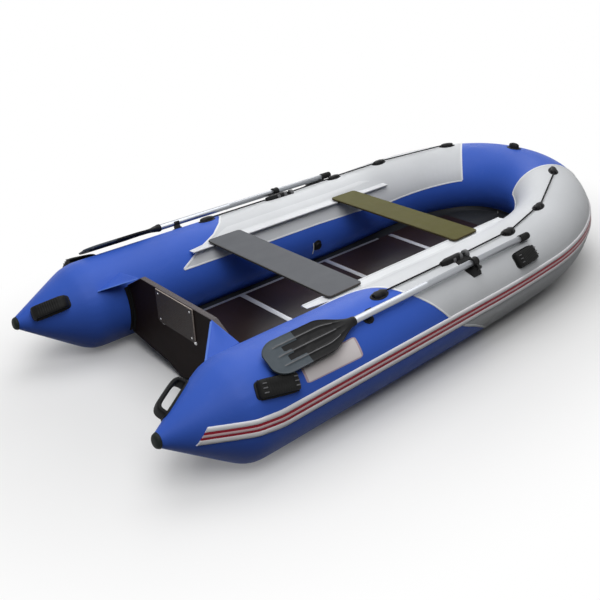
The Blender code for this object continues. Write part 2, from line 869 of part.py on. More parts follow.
def make_floor_joints():
    """H-section aluminium profiles between the floor boards."""
    reach = floor_web / 2 + floor_flange_reach
    web = floor_web / 2
    slot_low, slot_high = floor_underside - gap, floor_ledge_height + gap
    low, high = slot_low - profile_wall, slot_high + profile_wall
    section = [
        (-reach, low), (reach, low), (reach, slot_low), (web, slot_low),
        (web, slot_high), (reach, slot_high), (reach, high), (-reach, high),
        (-reach, slot_high), (-web, slot_high), (-web, slot_low), (-reach, slot_low),
    ]
    half = floor_half_width - floor_flange_reach - gap
    for joint, label in zip(floor_joint_stations, ("aft", "middle", "fore")):
        rings = []
        for across in (-half, half):
            rings.append([Vector((station_x(joint + along), across, height)) for along, height in section])
        add_object("floor_joint_" + label, loft(rings), (0.78, 0.79, 0.80), 0.3, 1.0)


def make_stringers():
    """U-section aluminium profiles along both sides of the floor."""
    slot_low, slot_high = floor_underside - gap, floor_ledge_height + gap
    low, high = slot_low - profile_wall, slot_high + profile_wall
    inner = floor_half_width - floor_flange_reach
    seat = floor_half_width + running_gap
    back = seat + profile_wall
    section = [(inner, low), (back, low), (back, high), (inner, high),
               (inner, slot_high), (seat, slot_high), (seat, slot_low), (inner, slot_low)]
    aft = transom_station + transom_thickness + holder_rib_thickness + running_gap
    for side, label in ((1, "port"), (-1, "starboard")):
        rings = []
        for place in (aft, stringer_end_station):
            rings.append([Vector((station_x(place), side * across, height)) for across, height in section])
        add_object("floor_stringer_" + label, loft(rings), (0.78, 0.79, 0.80), 0.3, 1.0)


def polygon_radius(angle):
    """Radius of the faceted tube at an angle."""
    facet = 2 * math.pi / tube_segments
    off_centre = angle - round(angle / facet) * facet
    return tube_radius * math.cos(facet / 2) / math.cos(off_centre)


def rail_root(place, height):
    """Angle round the tube at which it reaches a height."""
    _, _, upward = tube_frame(place)
    return math.asin((height - centre_height(place)) / (tube_radius + running_gap) / upward.z)


def rail_section(place, side):
    """Bead, web and glued flange of a seat rail."""
    root = rail_root(place, rail_height - rail_web / 2)
    root_top = rail_root(place, rail_height + rail_web / 2)
    step = rail_bend_step
    reach = math.pi / 4 + 2 * rail_flange_angle
    ridges = [angle for angle in facet_angles() if math.pi / 4 - step < angle < reach]
    bends = [max(root + step * (index + 1), ridge) for index, ridge in enumerate(ridges)]
    slot = math.asin(rail_web / 2 / bead_radius)
    points = []
    for turn in spaced(slot, 2 * math.pi - slot, 7):
        across, height = rail_inset + bead_radius * math.cos(turn), rail_height + bead_radius * math.sin(turn)
        points.append(Vector((station_x(place), across, height)))
    lower = [root] + bends + [bends[-1] + step]
    upper = lower[:0:-1] + [root_top]
    points += [rail_flange_point(place, angle, running_gap) for angle in lower]
    points += [rail_flange_point(place, angle, running_gap + rail_web) for angle in upper]
    return [Vector((point.x, side * point.y, point.z)) for point in points]


def rail_flange_point(place, angle, height):
    """Point on the rail's flange, off the faceted tube by a distance."""
    return tube_point(place, angle, polygon_radius(angle) - tube_radius + height)


def make_rails():
    """Fabric-covered seat rails glued along the tubes."""
    places = [place for place in ring_stations() if rail_start < place < rail_end]
    for side, label in ((1, "port"), (-1, "starboard")):
        rings = [rail_section(place, side) for place in [rail_start] + places]
        add_object("seat_rail_" + label, loft(rings), (0.75, 0.76, 0.77), 0.5)


def seat_outline(width):
    """Plan of a seat board with rounded corners, centred on its own origin."""
    half, reach, corner = width / 2, seat_half_length, seat_corner
    quarter = []
    for step in range(4):
        turn = math.pi / 2 * step / 3
        quarter.append((half - corner + corner * math.cos(turn), reach - corner + corner * math.sin(turn)))
    port = quarter + [(-along, across) for along, across in quarter[::-1]]
    return port + [(-along, -across) for along, across in port]


def slide_section(side):
    """C-shaped runner that clasps the rail's bead, open outboard."""
    inner = bead_radius + running_gap
    outer = inner + slide_wall
    inner_slot = math.asin(slide_slot / 2 / inner)
    outer_slot = math.asin(slide_slot / 2 / outer)
    points = [(outer, turn) for turn in spaced(outer_slot, 2 * math.pi - outer_slot, 10)]
    points += [(inner, turn) for turn in spaced(2 * math.pi - inner_slot, inner_slot, 10)]
    ring = []
    for radius, turn in points:
        ring.append((side * (rail_inset + radius * math.cos(turn)), radius * math.sin(turn)))
    return ring


def make_seat(label, place, width, colour):
    """Sliding thwart: the board and its two runners on the rails."""
    origin = Vector((station_x(place), 0, rail_height))
    carrier = add_empty(label + "_seat_slide_axis", Matrix.Translation(origin))
    low = seat_top - seat_thickness - rail_height
    outline = seat_outline(width)
    rings = []
    for height in (low, low + seat_thickness):
        rings.append([Vector((along, across, height)) for along, across in outline])
    board = add_object(label + "_seat_board", loft(rings), colour, 0.55, parent=carrier)
    add_modifier(board, "BEVEL", width=seat_thickness / 5, segments=1, limit_method="ANGLE",
                 angle_limit=math.radians(50))
    half = width * slide_length_share / 2
    for side, end in ((1, "port"), (-1, "starboard")):
        section = slide_section(side)
        rings = [[Vector((along, across, height)) for across, height in section] for along in (-half, half)]
        add_object(label + "_seat_runner_" + end, loft(rings), rubber_black, 0.5, parent=carrier)


def crown(shape, frame, size, base, hole, hole_height):
    """Low moulded holder with a hole along its X axis; its foot reaches down by base."""
    length, width, height = size
    outer = []
    for along, across, up in zip(crown_length_shares, crown_width_shares, crown_height_shares):
        half, top = width * across / 2, height * up
        section = [(-half, -base), (half, -base), (half, top * 0.35), (half * 0.66, top * 0.88),
                   (half * 0.3, top), (-half * 0.3, top), (-half * 0.66, top * 0.88), (-half, top * 0.35)]
        outer.append([frame @ Vector((along * length, side, rise)) for side, rise in section])
    inner = []
    for along in (crown_length_shares[-1], crown_length_shares[0]):
        ring = []
        for step in range(8):
            turn = 2 * math.pi * (step - 2.5) / 8
            across, rise = hole * math.cos(turn), hole_height + hole * math.sin(turn)
            ring.append(frame @ Vector((along * length, across, rise)))
        inner.append(ring)
    loft(outer + inner, loop=True, into=shape)


def rope_crown(shape, station, side):
    """Holder welded on top of a tube, which the lifeline runs through."""
    frame = seat_frame(station, rope_tie_angles[rope_tie_stations.index(station)], side)
    crown(shape, frame, crown_size, weld_depth, rope_radius + rope_clear, rope_height)


def bow_eye(shape):
    """Tow eye welded on top of the bow."""
    centre, _, upward = tube_frame(apex_station)
    top = centre + (polygon_radius(math.pi / 2) + gap) * upward
    frame = Matrix.Translation(top) @ Matrix.Rotation(math.pi / 2, 4, "Z")
    crown(shape, frame, bow_eye_size, weld_depth, bow_eye_hole, bow_eye_size[2] * 0.52)


def lifeline_route(side):
    """Rope centre through every tunnel, aft to bow."""
    route = []
    for index, station in enumerate(rope_tie_stations):
        length = rowlock_crown_size[0] if index == 1 else crown_size[0]
        aft = -length / 4 if index == 0 else -length / 2
        fore = length / 4 if index == len(rope_tie_stations) - 1 else length / 2
        frame = seat_frame(station, rope_tie_angles[index], side)
        route += [frame @ Vector((along, 0, rope_height)) for along in (aft, fore)]
    return route


def make_lifelines():
    """Safety ropes threaded through the holders."""
    for side, label in ((1, "port"), (-1, "starboard")):
        route = lifeline_route(side)
        points = [route[0]]
        for first, second in zip(route, route[1:]):
            steps = max(1, round((second - first).length / rope_step))
            points += [first.lerp(second, step / steps) for step in range(1, steps + 1)]
        curve = bpy.data.curves.new("lifeline_" + label, "CURVE")
        curve.dimensions = "3D"
        curve.bevel_depth = rope_radius
        curve.bevel_resolution = 2
        curve.use_fill_caps = True
        spline = curve.splines.new("POLY")
        spline.points.add(len(points) - 1)
        for slot, point in zip(spline.points, points):
            slot.co = (*point, 1.0)
        item = bpy.data.objects.new("lifeline_" + label, curve)
        bpy.context.scene.collection.objects.link(item)
        paint(item, rubber_black, 0.8)


def handle(name, station, angle, side, size):
    """Moulded strap handle: two glued feet and a ribbed bar that stands off the tube."""
    length, width, stand_off, bar = size
    frame = seat_frame(station, angle, side)
    foot = bar * handle_foot_share
    rings = []
    for along, rise, wide in zip(handle_along_shares, handle_rise_shares, handle_width_shares):
        thick = foot + (bar - foot) * rise
        low = (stand_off - bar) * rise
        half = width * wide / 2
        edge = thick * 0.3
        section = [(-half + edge, low), (half - edge, low), (half, low + edge), (half, low + thick - edge),
                   (half - edge, low + thick), (-half + edge, low + thick), (-half, low + thick - edge),
                   (-half, low + edge)]
        rings.append([frame @ Vector((along * length, across, height)) for across, height in section])
    add_object(name, loft(rings), rubber_black, 0.6)


def make_handles():
    """Grab handles inside the stern cones and along the outer sides."""
    for side, label in ((1, "port"), (-1, "starboard")):
        handle("cone_handle_" + label, cone_handle_station, cone_handle_angle, side, cone_handle_size)
        handle("aft_handle_" + label, aft_handle_station, aft_handle_angle, side, aft_handle_size)
        handle("fore_handle_" + label, fore_handle_station, fore_handle_angle, side, fore_handle_size)


def valve_body(shape, side):
    """Inflation valve welded into the inner side of a tube: flange and hollow neck."""
    neck, top = valve_neck_radius, valve_flange_height + valve_neck_height
    profile = [
        (valve_flange_radius, -weld_depth), (valve_flange_radius, valve_flange_height / 2),
        (valve_flange_radius * 0.9, valve_flange_height), (neck, valve_flange_height),
        (neck, top), (neck * 0.6, top), (neck * 0.6, top - valve_neck_height * 0.6),
    ]
    turned(profile, valve_segments, into=shape, transform=seat_frame(valve_station, valve_angle, side))


def make_valve_caps():
    """Quarter-turn caps over the valves' necks."""
    for side, label in ((1, "port"), (-1, "starboard")):
        carrier = add_empty(label + "_valve_cap_axis", seat_frame(valve_station, valve_angle, side))
        add_object("valve_cap_" + label, valve_cap_shape(), rubber_black, 0.45, parent=carrier)


def valve_cap_shape():
    """Ribbed cap, a cup over the valve's neck."""
    low = valve_flange_height + gap
    top = low + valve_cap_height
    roof = valve_flange_height + valve_neck_height + gap
    inner = valve_neck_radius + running_gap
    outer = valve_cap_radius
    profile = [(inner, roof), (inner, low), (outer, low), (outer, top - valve_cap_wall / 2),
               (outer * 0.88, top)]
    rings = []
    for radius, height in profile:
        ring = []
        for step in range(valve_segments):
            turn = 2 * math.pi * step / valve_segments
            ribbed = radius == outer and step % 2 == 0
            reach = radius - (valve_cap_rib_depth if ribbed else 0.0)
            ring.append(Vector((reach * math.cos(turn), reach * math.sin(turn), height)))
        rings.append(ring)
    return loft(rings)


def oar_frame(side):
    """Matrix of an oar's swing axis: X forward along the shaft, Z out from the tube."""
    frame = seat_frame(rowlock_station, rowlock_angle, side)
    outward = frame.to_3x3() @ Vector((0, 0, 1))
    return Matrix.Translation(outward * (oar_plane_height - gap)) @ frame


def tube_along(reaches, radius, wall, segments, into=None):
    """Hollow round tube along X between two reaches."""
    outer, inner = [], []
    for reach in reaches:
        outer.append(circle_across(reach, radius, segments))
        inner.append(circle_across(reach, radius - wall, segments))
    return loft(outer + inner[::-1], loop=True, into=into)


def circle_across(along, radius, segments, squash=1.0):
    """Circle of points square to X."""
    ring = []
    for step in range(segments):
        turn = 2 * math.pi * step / segments
        ring.append(Vector((along, radius * math.cos(turn), radius * squash * math.sin(turn))))
    return ring


def make_oars():
    """Rowlocks, clamp knobs, shafts, blades and grips, mirrored port and starboard."""
    for side, label in ((1, "port"), (-1, "starboard")):
        frame = oar_frame(side)
        carrier = add_empty(label + "_oar_swing_axis", frame)
        make_rowlock_base(label, side)
        make_rowlock_swivel(label, carrier, side)
        make_knob(label, carrier, side)
        shaft = tube_along((-shaft_aft_reach, shaft_fore_reach), shaft_radius, shaft_wall, shaft_segments)
        add_object("oar_shaft_" + label, shaft, (0.80, 0.81, 0.82), 0.28, 1.0, parent=carrier)
        add_object("oar_blade_" + label, blade_shape(), rubber_black, 0.4, parent=carrier)
        add_object("oar_grip_" + label, grip_shape(), rubber_black, 0.6, parent=carrier)


def rowlock_pad(side):
    """Thin moulded pad bent round the tube, from the rope crown to the swing boss."""
    facet = 2 * math.pi / tube_segments
    first = rope_tie_angles[1] - facet / 2
    rings = []
    for index, share in enumerate(rowlock_pad_length_shares):
        angle = first + facet * index
        half = rowlock_pad_length * share / 2
        ring = []
        for along, offset in ((-half, gap), (half, gap), (half, gap + rowlock_pad_thickness),
                              (-half, gap + rowlock_pad_thickness)):
            ring.append(tube_point(rowlock_station + along, angle, offset, side))
        rings.append(ring)
    return loft(rings)


def make_rowlock_base(label, side):
    """Moulded pad with a rope crown and the boss and pin that the oar swings on."""
    item = add_object("rowlock_base_" + label, rowlock_pad(side), rubber_black, 0.5)
    shape = bmesh.new()
    crown(shape, seat_frame(rope_tie_stations[1], rope_tie_angles[1], side), rowlock_crown_size, 0.0,
          rope_radius + rope_clear, rope_height)
    boss = [
        (swing_boss_radius, 0.0), (swing_boss_radius, swing_boss_height * 0.9),
        (swing_boss_radius * 0.9, swing_boss_height), (swing_pin_radius, swing_boss_height),
        (swing_pin_radius, swing_pin_top - running_gap), (swing_pin_radius * 0.8, swing_pin_top),
    ]
    turned(boss, valve_segments, into=shape, transform=seat_frame(rowlock_station, rowlock_angle, side))
    fuse(item, add_guide(label + "_rowlock_fittings", shape))


def make_rowlock_swivel(label, carrier, side):
    """Clamp ring round the shaft on a socket that turns on the rowlock's pin."""
    ring_inner = shaft_radius + gap
    ring_outer = ring_inner + ring_wall
    surface = gap - oar_plane_height
    low = surface + swing_boss_height + gap
    roof = surface + swing_pin_top + running_gap
    inner = swing_pin_radius + running_gap
    outer = inner + socket_wall
    top = -ring_inner - ring_wall * 0.4
    cup = [(inner, roof), (inner, low), (outer, low), (outer, top)]
    ring = tube_along((-ring_width / 2, ring_width / 2), ring_outer, ring_wall, valve_segments)
    item = add_object("rowlock_swivel_" + label, ring, rubber_black, 0.5, parent=carrier)
    fuse(item, add_guide(label + "_swivel_socket", turned(cup, valve_segments), carrier))
    fuse(item, add_guide(label + "_swivel_ear", ear_shape(side, ring_outer), carrier))


def ear_shape(side, ring_outer):
    """Clamp ear on the outboard side of the ring, which the knob bears on."""
    shape = bmesh.new()
    start = ring_outer - ring_wall * 0.6
    end = ring_outer + clamp_ear_reach
    half, rise = clamp_ear_width / 2, clamp_ear_height / 2
    rings = []
    for across in (start, end):
        corners = ((-half, -rise), (half, -rise), (half, rise), (-half, rise))
        rings.append([Vector((along, side * across, height)) for along, height in corners])
    return loft(rings, into=shape)


def make_knob(label, carrier, side):
    """Lobed knob that tightens the clamp ring; it turns about its own screw."""
    seat = shaft_radius + gap + ring_wall + clamp_ear_reach + gap
    turn = Matrix.Rotation(-side * math.pi / 2, 4, "X")
    pivot = add_empty(label + "_knob_axis", Matrix.Translation(Vector((0, side * seat, 0))) @ turn)
    pivot.parent = carrier
    rings = []
    profile = ((knob_radius * 0.6, 0.0), (knob_radius * 0.6, knob_height * 0.2),
               (knob_radius, knob_height * 0.3), (knob_radius, knob_height * 0.85),
               (knob_radius * 0.8, knob_height))
    for radius, height in profile:
        ring = []
        for step in range(valve_segments):
            angle = 2 * math.pi * step / valve_segments
            lobe = knob_lobe_depth * math.cos(knob_lobes * angle) if radius > knob_radius * 0.7 else 0.0
            reach = radius + lobe
            ring.append(Vector((reach * math.cos(angle), reach * math.sin(angle), height)))
        rings.append(ring)
    add_object("rowlock_knob_" + label, loft(rings), rubber_black, 0.45, parent=pivot)


def blade_half_width_at(share):
    """Half width of the blade: slim at the neck, full along its length, round at the tip."""
    shoulder = smooth_step(share / 0.36)
    tip = math.sqrt(max(0.0, 1 - max(0.0, (share - 0.84) / 0.165) ** 2))
    return blade_neck_radius + (blade_half_width - blade_neck_radius) * shoulder * tip


def blade_shape():
    """Moulded oar blade with three long ribs and a socket for the shaft."""
    outer_rings = []
    for step in range(blade_sections + 1):
        share = step / blade_sections
        along = -blade_mouth_reach - blade_length * share
        outer_rings.append(blade_ring(along, share))
    mouth = -blade_mouth_reach
    bore = [circle_across(reach, shaft_radius + gap, blade_points)
            for reach in (mouth, mouth - blade_socket_depth)]
    return loft(outer_rings[::-1] + bore)


def blade_ring(along, share):
    """One section across the blade, swelling from a round neck to a ribbed plate."""
    half = blade_half_width_at(share)
    flat = smooth_step(share / 0.30)
    rib_fade = smooth_step(share / 0.2) * (1 - smooth_step((share - 0.80) / 0.16))
    ring = []
    for step in range(blade_points):
        turn = 2 * math.pi * step / blade_points
        across = half * math.cos(turn)
        plate = blade_thickness / 2 * (1 - 0.5 * abs(math.cos(turn)) ** 3)
        rib = blade_rib_height * max(0.0, math.cos(3 * math.pi * math.cos(turn))) ** 2 * rib_fade
        plate += rib * min(1.0, 2 * abs(math.sin(turn)))
        round_height = blade_neck_radius * abs(math.sin(turn))
        height = round_height + (plate * min(1.0, 3 * abs(math.sin(turn))) - round_height) * flat
        ring.append(Vector((along, across, math.copysign(height, math.sin(turn)))))
    return ring


def grip_shape():
    """Ribbed grip, a closed sleeve over the fore end of the shaft."""
    start = grip_end_reach - grip_length
    outer = [circle_across(grip_end_reach, grip_radius * 0.7, shaft_segments)]
    for step in range(grip_ribs * 2):
        share = step / (grip_ribs * 2 - 1)
        radius = grip_radius + (grip_rib_height if step % 2 else 0.0)
        along = grip_end_reach - grip_rib_height - (grip_length - grip_rib_height) * share
        outer.append(circle_across(along, radius, shaft_segments))
    bore = [circle_across(start, shaft_radius + gap, shaft_segments),
            circle_across(shaft_fore_reach + gap, shaft_radius + gap, shaft_segments)]
    return loft(outer + bore)


def clip_section():
    """Foot, stem and inboard hook of an oar clip, as across and height values."""
    inner = shaft_radius + running_gap
    outer = inner + clip_wall
    centre = oar_plane_height - gap
    hook = [math.radians(degrees) for degrees in (270, 250, 225, 200, 180, 165)]
    points = [(inner * math.cos(turn), centre + inner * math.sin(turn)) for turn in hook]
    points += [(outer * math.cos(turn), centre + outer * math.sin(turn)) for turn in hook[:1:-1]]
    points += [(-inner, clip_foot_thickness), (-clip_foot_half, clip_foot_thickness),
               (-clip_foot_half, 0.0), (clip_foot_half, 0.0), (clip_foot_half, clip_foot_thickness),
               (inner * 0.3, clip_foot_thickness)]
    return points


def make_clips():
    """Rests under the oar necks, open outboard and upward so that the oars can swing out."""
    half = clip_width / 2
    for side, label in ((1, "port"), (-1, "starboard")):
        frame = seat_frame(clip_station, rowlock_angle, side)
        section = clip_section()
        rings = [[frame @ Vector((along, side * across, height)) for across, height in section]
                 for along in (-half, half)]
        add_object("oar_clip_" + label, loft(rings), rubber_black, 0.55)


def build():
    """Make the whole boat."""
    clear_scene()
    make_tubes()
    make_bulkhead()
    make_cone_caps()
    make_strake()
    make_bottom()
    make_keel()
    make_transom()
    make_gussets()
    make_floor_boards()
    make_floor_joints()
    make_stringers()
    make_rails()
    make_seat("rear", rear_seat_station, rear_seat_width, (0.24, 0.26, 0.27))
    make_seat("front", front_seat_station, front_seat_width, (0.13, 0.12, 0.035))
    make_lifelines()
    make_handles()
    make_valve_caps()
    make_oars()
    make_clips()


build()
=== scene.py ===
"""Looks of the inflatable boat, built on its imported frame. Metres, +X to the bow, +Y to port, +Z up.

Stations are distances forward of the stern tips, measured along the tube. Past the bow they run on
down the starboard side. Angles go round the tube in degrees: 0 inboard, 90 on top, 180 outboard.
"""

import math

import bmesh
import bpy
import numpy as np
from mathutils import Matrix, Vector


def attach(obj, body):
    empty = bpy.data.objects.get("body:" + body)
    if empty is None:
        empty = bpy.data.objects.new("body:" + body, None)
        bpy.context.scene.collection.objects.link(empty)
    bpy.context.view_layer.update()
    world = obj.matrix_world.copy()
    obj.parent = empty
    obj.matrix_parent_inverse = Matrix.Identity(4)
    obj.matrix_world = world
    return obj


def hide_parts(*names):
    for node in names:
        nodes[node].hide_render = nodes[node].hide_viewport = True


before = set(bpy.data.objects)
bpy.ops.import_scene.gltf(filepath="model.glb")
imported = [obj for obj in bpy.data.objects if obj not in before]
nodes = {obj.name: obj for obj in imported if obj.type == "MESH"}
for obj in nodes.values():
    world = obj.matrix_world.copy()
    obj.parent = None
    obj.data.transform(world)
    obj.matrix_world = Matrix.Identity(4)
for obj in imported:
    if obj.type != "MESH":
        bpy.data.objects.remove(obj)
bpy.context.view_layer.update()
SIDES = ((1, "port"), (-1, "starboard"))

LENGTH, RADIUS, HALF_SPACING, CENTRE_HEIGHT = 3.15, 0.2093, 0.59, 0.2092
CONE_TIP, CONE_SHOULDER, CONE_RADIUS, CONE_HEIGHT = 0.010, 0.302, 0.0240, 0.240
SHOULDER_EASE = 0.016
SHEER_START, BOW_RISE, CURVE_RUN, CURVE_POWER = 1.65, 0.11, 0.80, 2.15
STRAKE_DEPTH, BOW_SETBACK = 0.006, 0.21
BOW_APEX_X = LENGTH - STRAKE_DEPTH - BOW_SETBACK
STRAIGHT_END = BOW_APEX_X - CURVE_RUN
TRANSOM_AFT, TRANSOM_FORE = 0.473, 0.500


def circle(count):
    """Angles of the points of a closed ring."""
    return np.linspace(0, 2 * math.pi, count, endpoint=False)


def ease_in_out(share):
    return share * share * (3 - 2 * share)


def signed_power(value, power):
    return math.copysign(abs(value) ** power, value)


def bow_table():
    """Arc length of the bow's plan curve against along and across distances."""
    turn = np.linspace(0, math.pi / 2, 4001)
    along = STRAIGHT_END + CURVE_RUN * np.sin(turn) ** (2 / CURVE_POWER)
    across = HALF_SPACING * np.maximum(np.cos(turn), 0) ** (2 / CURVE_POWER)
    steps = np.hypot(np.diff(along), np.diff(across))
    return np.concatenate([[0], np.cumsum(steps)]), along, across


ARC, ARC_X, ARC_Y = bow_table()
APEX = STRAIGHT_END + ARC[-1]
BOW_SEAM = APEX - 0.328


def from_stern(station):
    """Distance along the tube from the nearer stern tip."""
    return np.minimum(station, 2 * APEX - station)


def centre(station):
    """Tube centre at stations along the whole U."""
    station = np.asarray(station, float)
    away = from_stern(station)
    run = np.clip(away - STRAIGHT_END, 0, ARC[-1])
    along = np.where(away < STRAIGHT_END, away, np.interp(run, ARC, ARC_X))
    across = np.where(away < STRAIGHT_END, HALF_SPACING, np.interp(run, ARC, ARC_Y))
    rise = np.clip((along - SHEER_START) / (BOW_APEX_X - SHEER_START), 0, None) ** 2
    cone = np.clip((CONE_SHOULDER - away) / (CONE_SHOULDER - CONE_TIP), 0, None)
    height = CENTRE_HEIGHT + BOW_RISE * rise + (CONE_HEIGHT - CENTRE_HEIGHT) * cone
    return np.stack([along - LENGTH / 2, np.where(station > APEX, -across, across), height], -1)


def radius_at(station):
    """Tube radius, with a soft shoulder where the cone starts."""
    slope = (RADIUS - CONE_RADIUS) / (CONE_SHOULDER - CONE_TIP)
    ease = np.logaddexp(0, (CONE_SHOULDER - from_stern(station)) / SHOULDER_EASE)
    return RADIUS - slope * SHOULDER_EASE * ease


def tube(station, angle, offset=0.0):
    """Points on the tube, off its surface by offset."""
    station, angle = np.broadcast_arrays(np.asarray(station, float), np.radians(angle))
    tangent = centre(station + 0.0015) - centre(station - 0.0015)
    straight = (station < SHEER_START - 0.01) | (station > 2 * APEX - SHEER_START + 0.01)
    tangent[straight, 2] = 0
    tangent /= np.linalg.norm(tangent, axis=-1, keepdims=True)
    inward = np.stack([tangent[..., 1], -tangent[..., 0], np.zeros_like(station)], -1)
    inward /= np.linalg.norm(inward, axis=-1, keepdims=True)
    upward = np.cross(inward, tangent)
    outward = np.cos(angle)[..., None] * inward + np.sin(angle)[..., None] * upward
    return centre(station) + (radius_at(station) + offset)[..., None] * outward


def on_side(station, side):
    """Station of the same place on the given side."""
    return station if side > 0 else 2 * APEX - station


def seat(station, angle, side, lift=0.0):
    """Matrix on the tube: X forward, Z straight out."""
    here = on_side(station, side)
    fore, aft = (tube(on_side(station + step, side), angle) for step in (0.004, -0.004))
    after, before = (tube(here, angle + step) for step in (1, -1))
    along, across = Vector(fore - aft).normalized(), Vector(after - before).normalized()
    outward = along.cross(across) * side
    outward.normalize()
    origin = Vector(tube(here, angle)) + lift * outward
    return Matrix.Translation(origin) @ Matrix((along, outward.cross(along), outward)).transposed().to_4x4()


def pointing(origin, axis):
    """Matrix at a point with Z along an axis."""
    return Matrix.Translation(Vector(origin)) @ Vector(axis).to_track_quat("Z", "Y").to_matrix().to_4x4()


def both(stem):
    return [stem + "_port", stem + "_starboard"]


# Meshes

def add_object(name, data):
    obj = bpy.data.objects.new(name, data)
    bpy.context.scene.collection.objects.link(obj)
    return obj


def piece(name, verts, faces, body="hull", mats=(), indices=None, smooth=40, node=None, slot=None):
    """Mesh object that rides on a CAD body and may stand for a CAD node."""
    mesh = bpy.data.meshes.new(name)
    mesh.from_pydata([tuple(map(float, v)) for v in verts], [], [tuple(map(int, f)) for f in faces])
    for material in mats:
        mesh.materials.append(material)
    if indices is not None:
        mesh.polygons.foreach_set("material_index", np.asarray(indices, np.int32))
    mesh.shade_smooth()
    if smooth < 180:
        mesh.set_sharp_from_angle(angle=math.radians(smooth))
    mesh.update()
    obj = add_object(name, mesh)
    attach(obj, body)
    if node:
        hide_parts(*([node] if isinstance(node, str) else node))
    return obj


def fix_normals(obj):
    shape = bmesh.new()
    shape.from_mesh(obj.data)
    bmesh.ops.recalc_face_normals(shape, faces=shape.faces)
    shape.to_mesh(obj.data)
    shape.free()


def grid_faces(rows, cols, wrap_rows=False, wrap_cols=False):
    faces = []
    for i in range(rows if wrap_rows else rows - 1):
        for j in range(cols if wrap_cols else cols - 1):
            here, above, right = i * cols, (i + 1) % rows * cols, (j + 1) % cols
            faces.append((here + j, here + right, above + right, above + j))
    return faces


def flipped(faces):
    return [face[::-1] for face in faces]


class Build:
    """Collects parts of one mesh."""

    def __init__(self):
        self.verts, self.faces, self.index = [], [], []

    def add(self, verts, faces, material=0, transform=None):
        start = len(self.verts)
        self.verts += [Vector(v) if transform is None else transform @ Vector(v) for v in verts]
        self.faces += [[start + i for i in face] for face in faces]
        self.index += [material] * len(faces)

    def loft(self, rings, caps=True, loop=False, material=0, transform=None):
        count = len(rings[0])
        verts = [v for ring in rings for v in ring]
        faces = grid_faces(len(rings), count, wrap_rows=loop, wrap_cols=True)
        if caps and not loop:
            faces += [list(range(count))[::-1], [len(verts) - count + i for i in range(count)]]
        self.add(verts, faces, material, transform)

    def turn(self, profile, segments, transform):
        """Body turned about Z from (radius, height) pairs."""
        self.loft([[(radius * math.cos(t), radius * math.sin(t), height) for t in circle(segments)]
                   for radius, height in profile], transform=transform)

    def bar(self, profile, segments, transform, material=0, caps=True):
        """Body turned about X from (radius, along) pairs."""
        self.loft([[(along, radius * math.cos(t), radius * math.sin(t)) for t in circle(segments)]
                   for radius, along in profile], caps, material=material, transform=transform)

    def box(self, low, high, bevel, material, transform):
        """Box with eased edges, as a lofted stack."""
        (x0, y0, z0), (x1, y1, z1) = low, high
        rings = []
        for z, inset in ((z0, bevel), (z0 + bevel, 0), (z1 - bevel, 0), (z1, bevel)):
            a, b, c, d = x0 + inset, x1 - inset, y0 + inset, y1 - inset
            rings.append([(a, c + bevel, z), (a + bevel, c, z), (b - bevel, c, z), (b, c + bevel, z),
                          (b, d - bevel, z), (b - bevel, d, z), (a + bevel, d, z), (a, d - bevel, z)])
        self.loft(rings, material=material, transform=transform)

    def shell(self, upper, lower):
        """Two grids of points back to back, closed along their rim."""
        rows, cols = upper.shape[:2]
        skin, faces = rows * cols, grid_faces(rows, cols)
        self.add(upper.reshape(-1, 3), faces)
        self.add(lower.reshape(-1, 3), flipped(faces))
        rim = list(range(cols)) + [i * cols + cols - 1 for i in range(1, rows)]
        rim += [(rows - 1) * cols + j for j in range(cols - 2, -1, -1)]
        rim += [i * cols for i in range(rows - 2, 0, -1)]
        self.faces += [[a, b, b + skin, a + skin] for a, b in zip(rim, rim[1:] + rim[:1])]
        self.index += [0] * len(rim)

    def done(self, name, mats, **options):
        obj = piece(name, self.verts, self.faces, mats=mats, indices=self.index, **options)
        fix_normals(obj)
        return obj


RIBBON_SECTION = ((-0.5, -0.4), (-0.5, 0.25), (-0.42, 0.8), (-0.2, 1.0),
                  (0.2, 1.0), (0.42, 0.8), (0.5, 0.25), (0.5, -0.4))


def ribbon(path, normals, width, height):
    """Low rounded strip along a path, lying on a surface."""
    path, normals = np.asarray(path), np.asarray(normals)
    tangent = np.gradient(path, axis=0)
    tangent /= np.linalg.norm(tangent, axis=1, keepdims=True)
    across = np.cross(normals, tangent)
    across /= np.linalg.norm(across, axis=1, keepdims=True)
    return [[p + a * width * u + n * height * v for u, v in RIBBON_SECTION]
            for p, n, a in zip(path, normals, across)]


# Materials

def new_material(name, colour, roughness, metallic=0.0, **inputs):
    material = bpy.data.materials.new(name)
    material.use_nodes = True
    shader = material.node_tree.nodes["Principled BSDF"]
    shader.inputs["Base Color"].default_value = (*colour, 1)
    shader.inputs["Roughness"].default_value = roughness
    shader.inputs["Metallic"].default_value = metallic
    for key, value in inputs.items():
        shader.inputs[key.replace("_", " ")].default_value = value
    return material


def node(material, kind, settings=None, **links):
    """New node: its settings by name, its linked inputs as keywords."""
    made = material.node_tree.nodes.new(kind)
    for key, value in (settings or {}).items():
        if hasattr(made, key):
            setattr(made, key, value)
        else:
            made.inputs[key].default_value = value
    for key, value in links.items():
        material.node_tree.links.new(value, made.inputs[key])
    return made


def link(material, output, socket):
    shader = material.node_tree.nodes["Principled BSDF"]
    material.node_tree.links.new(output, shader.inputs[socket])


def feed(material, made, values):
    """Link or set a node's inputs, given as (slot, value) pairs."""
    for slot, value in values:
        if isinstance(value, bpy.types.NodeSocket):
            material.node_tree.links.new(value, made.inputs[slot])
        else:
            made.inputs[slot].default_value = value


def position(material, scale=(1, 1, 1), rotation=(0, 0, 0)):
    place = node(material, "ShaderNodeTexCoord").outputs["Object"]
    turned = {"Scale": scale, "Rotation": rotation}
    return node(material, "ShaderNodeMapping", turned, Vector=place).outputs["Vector"]


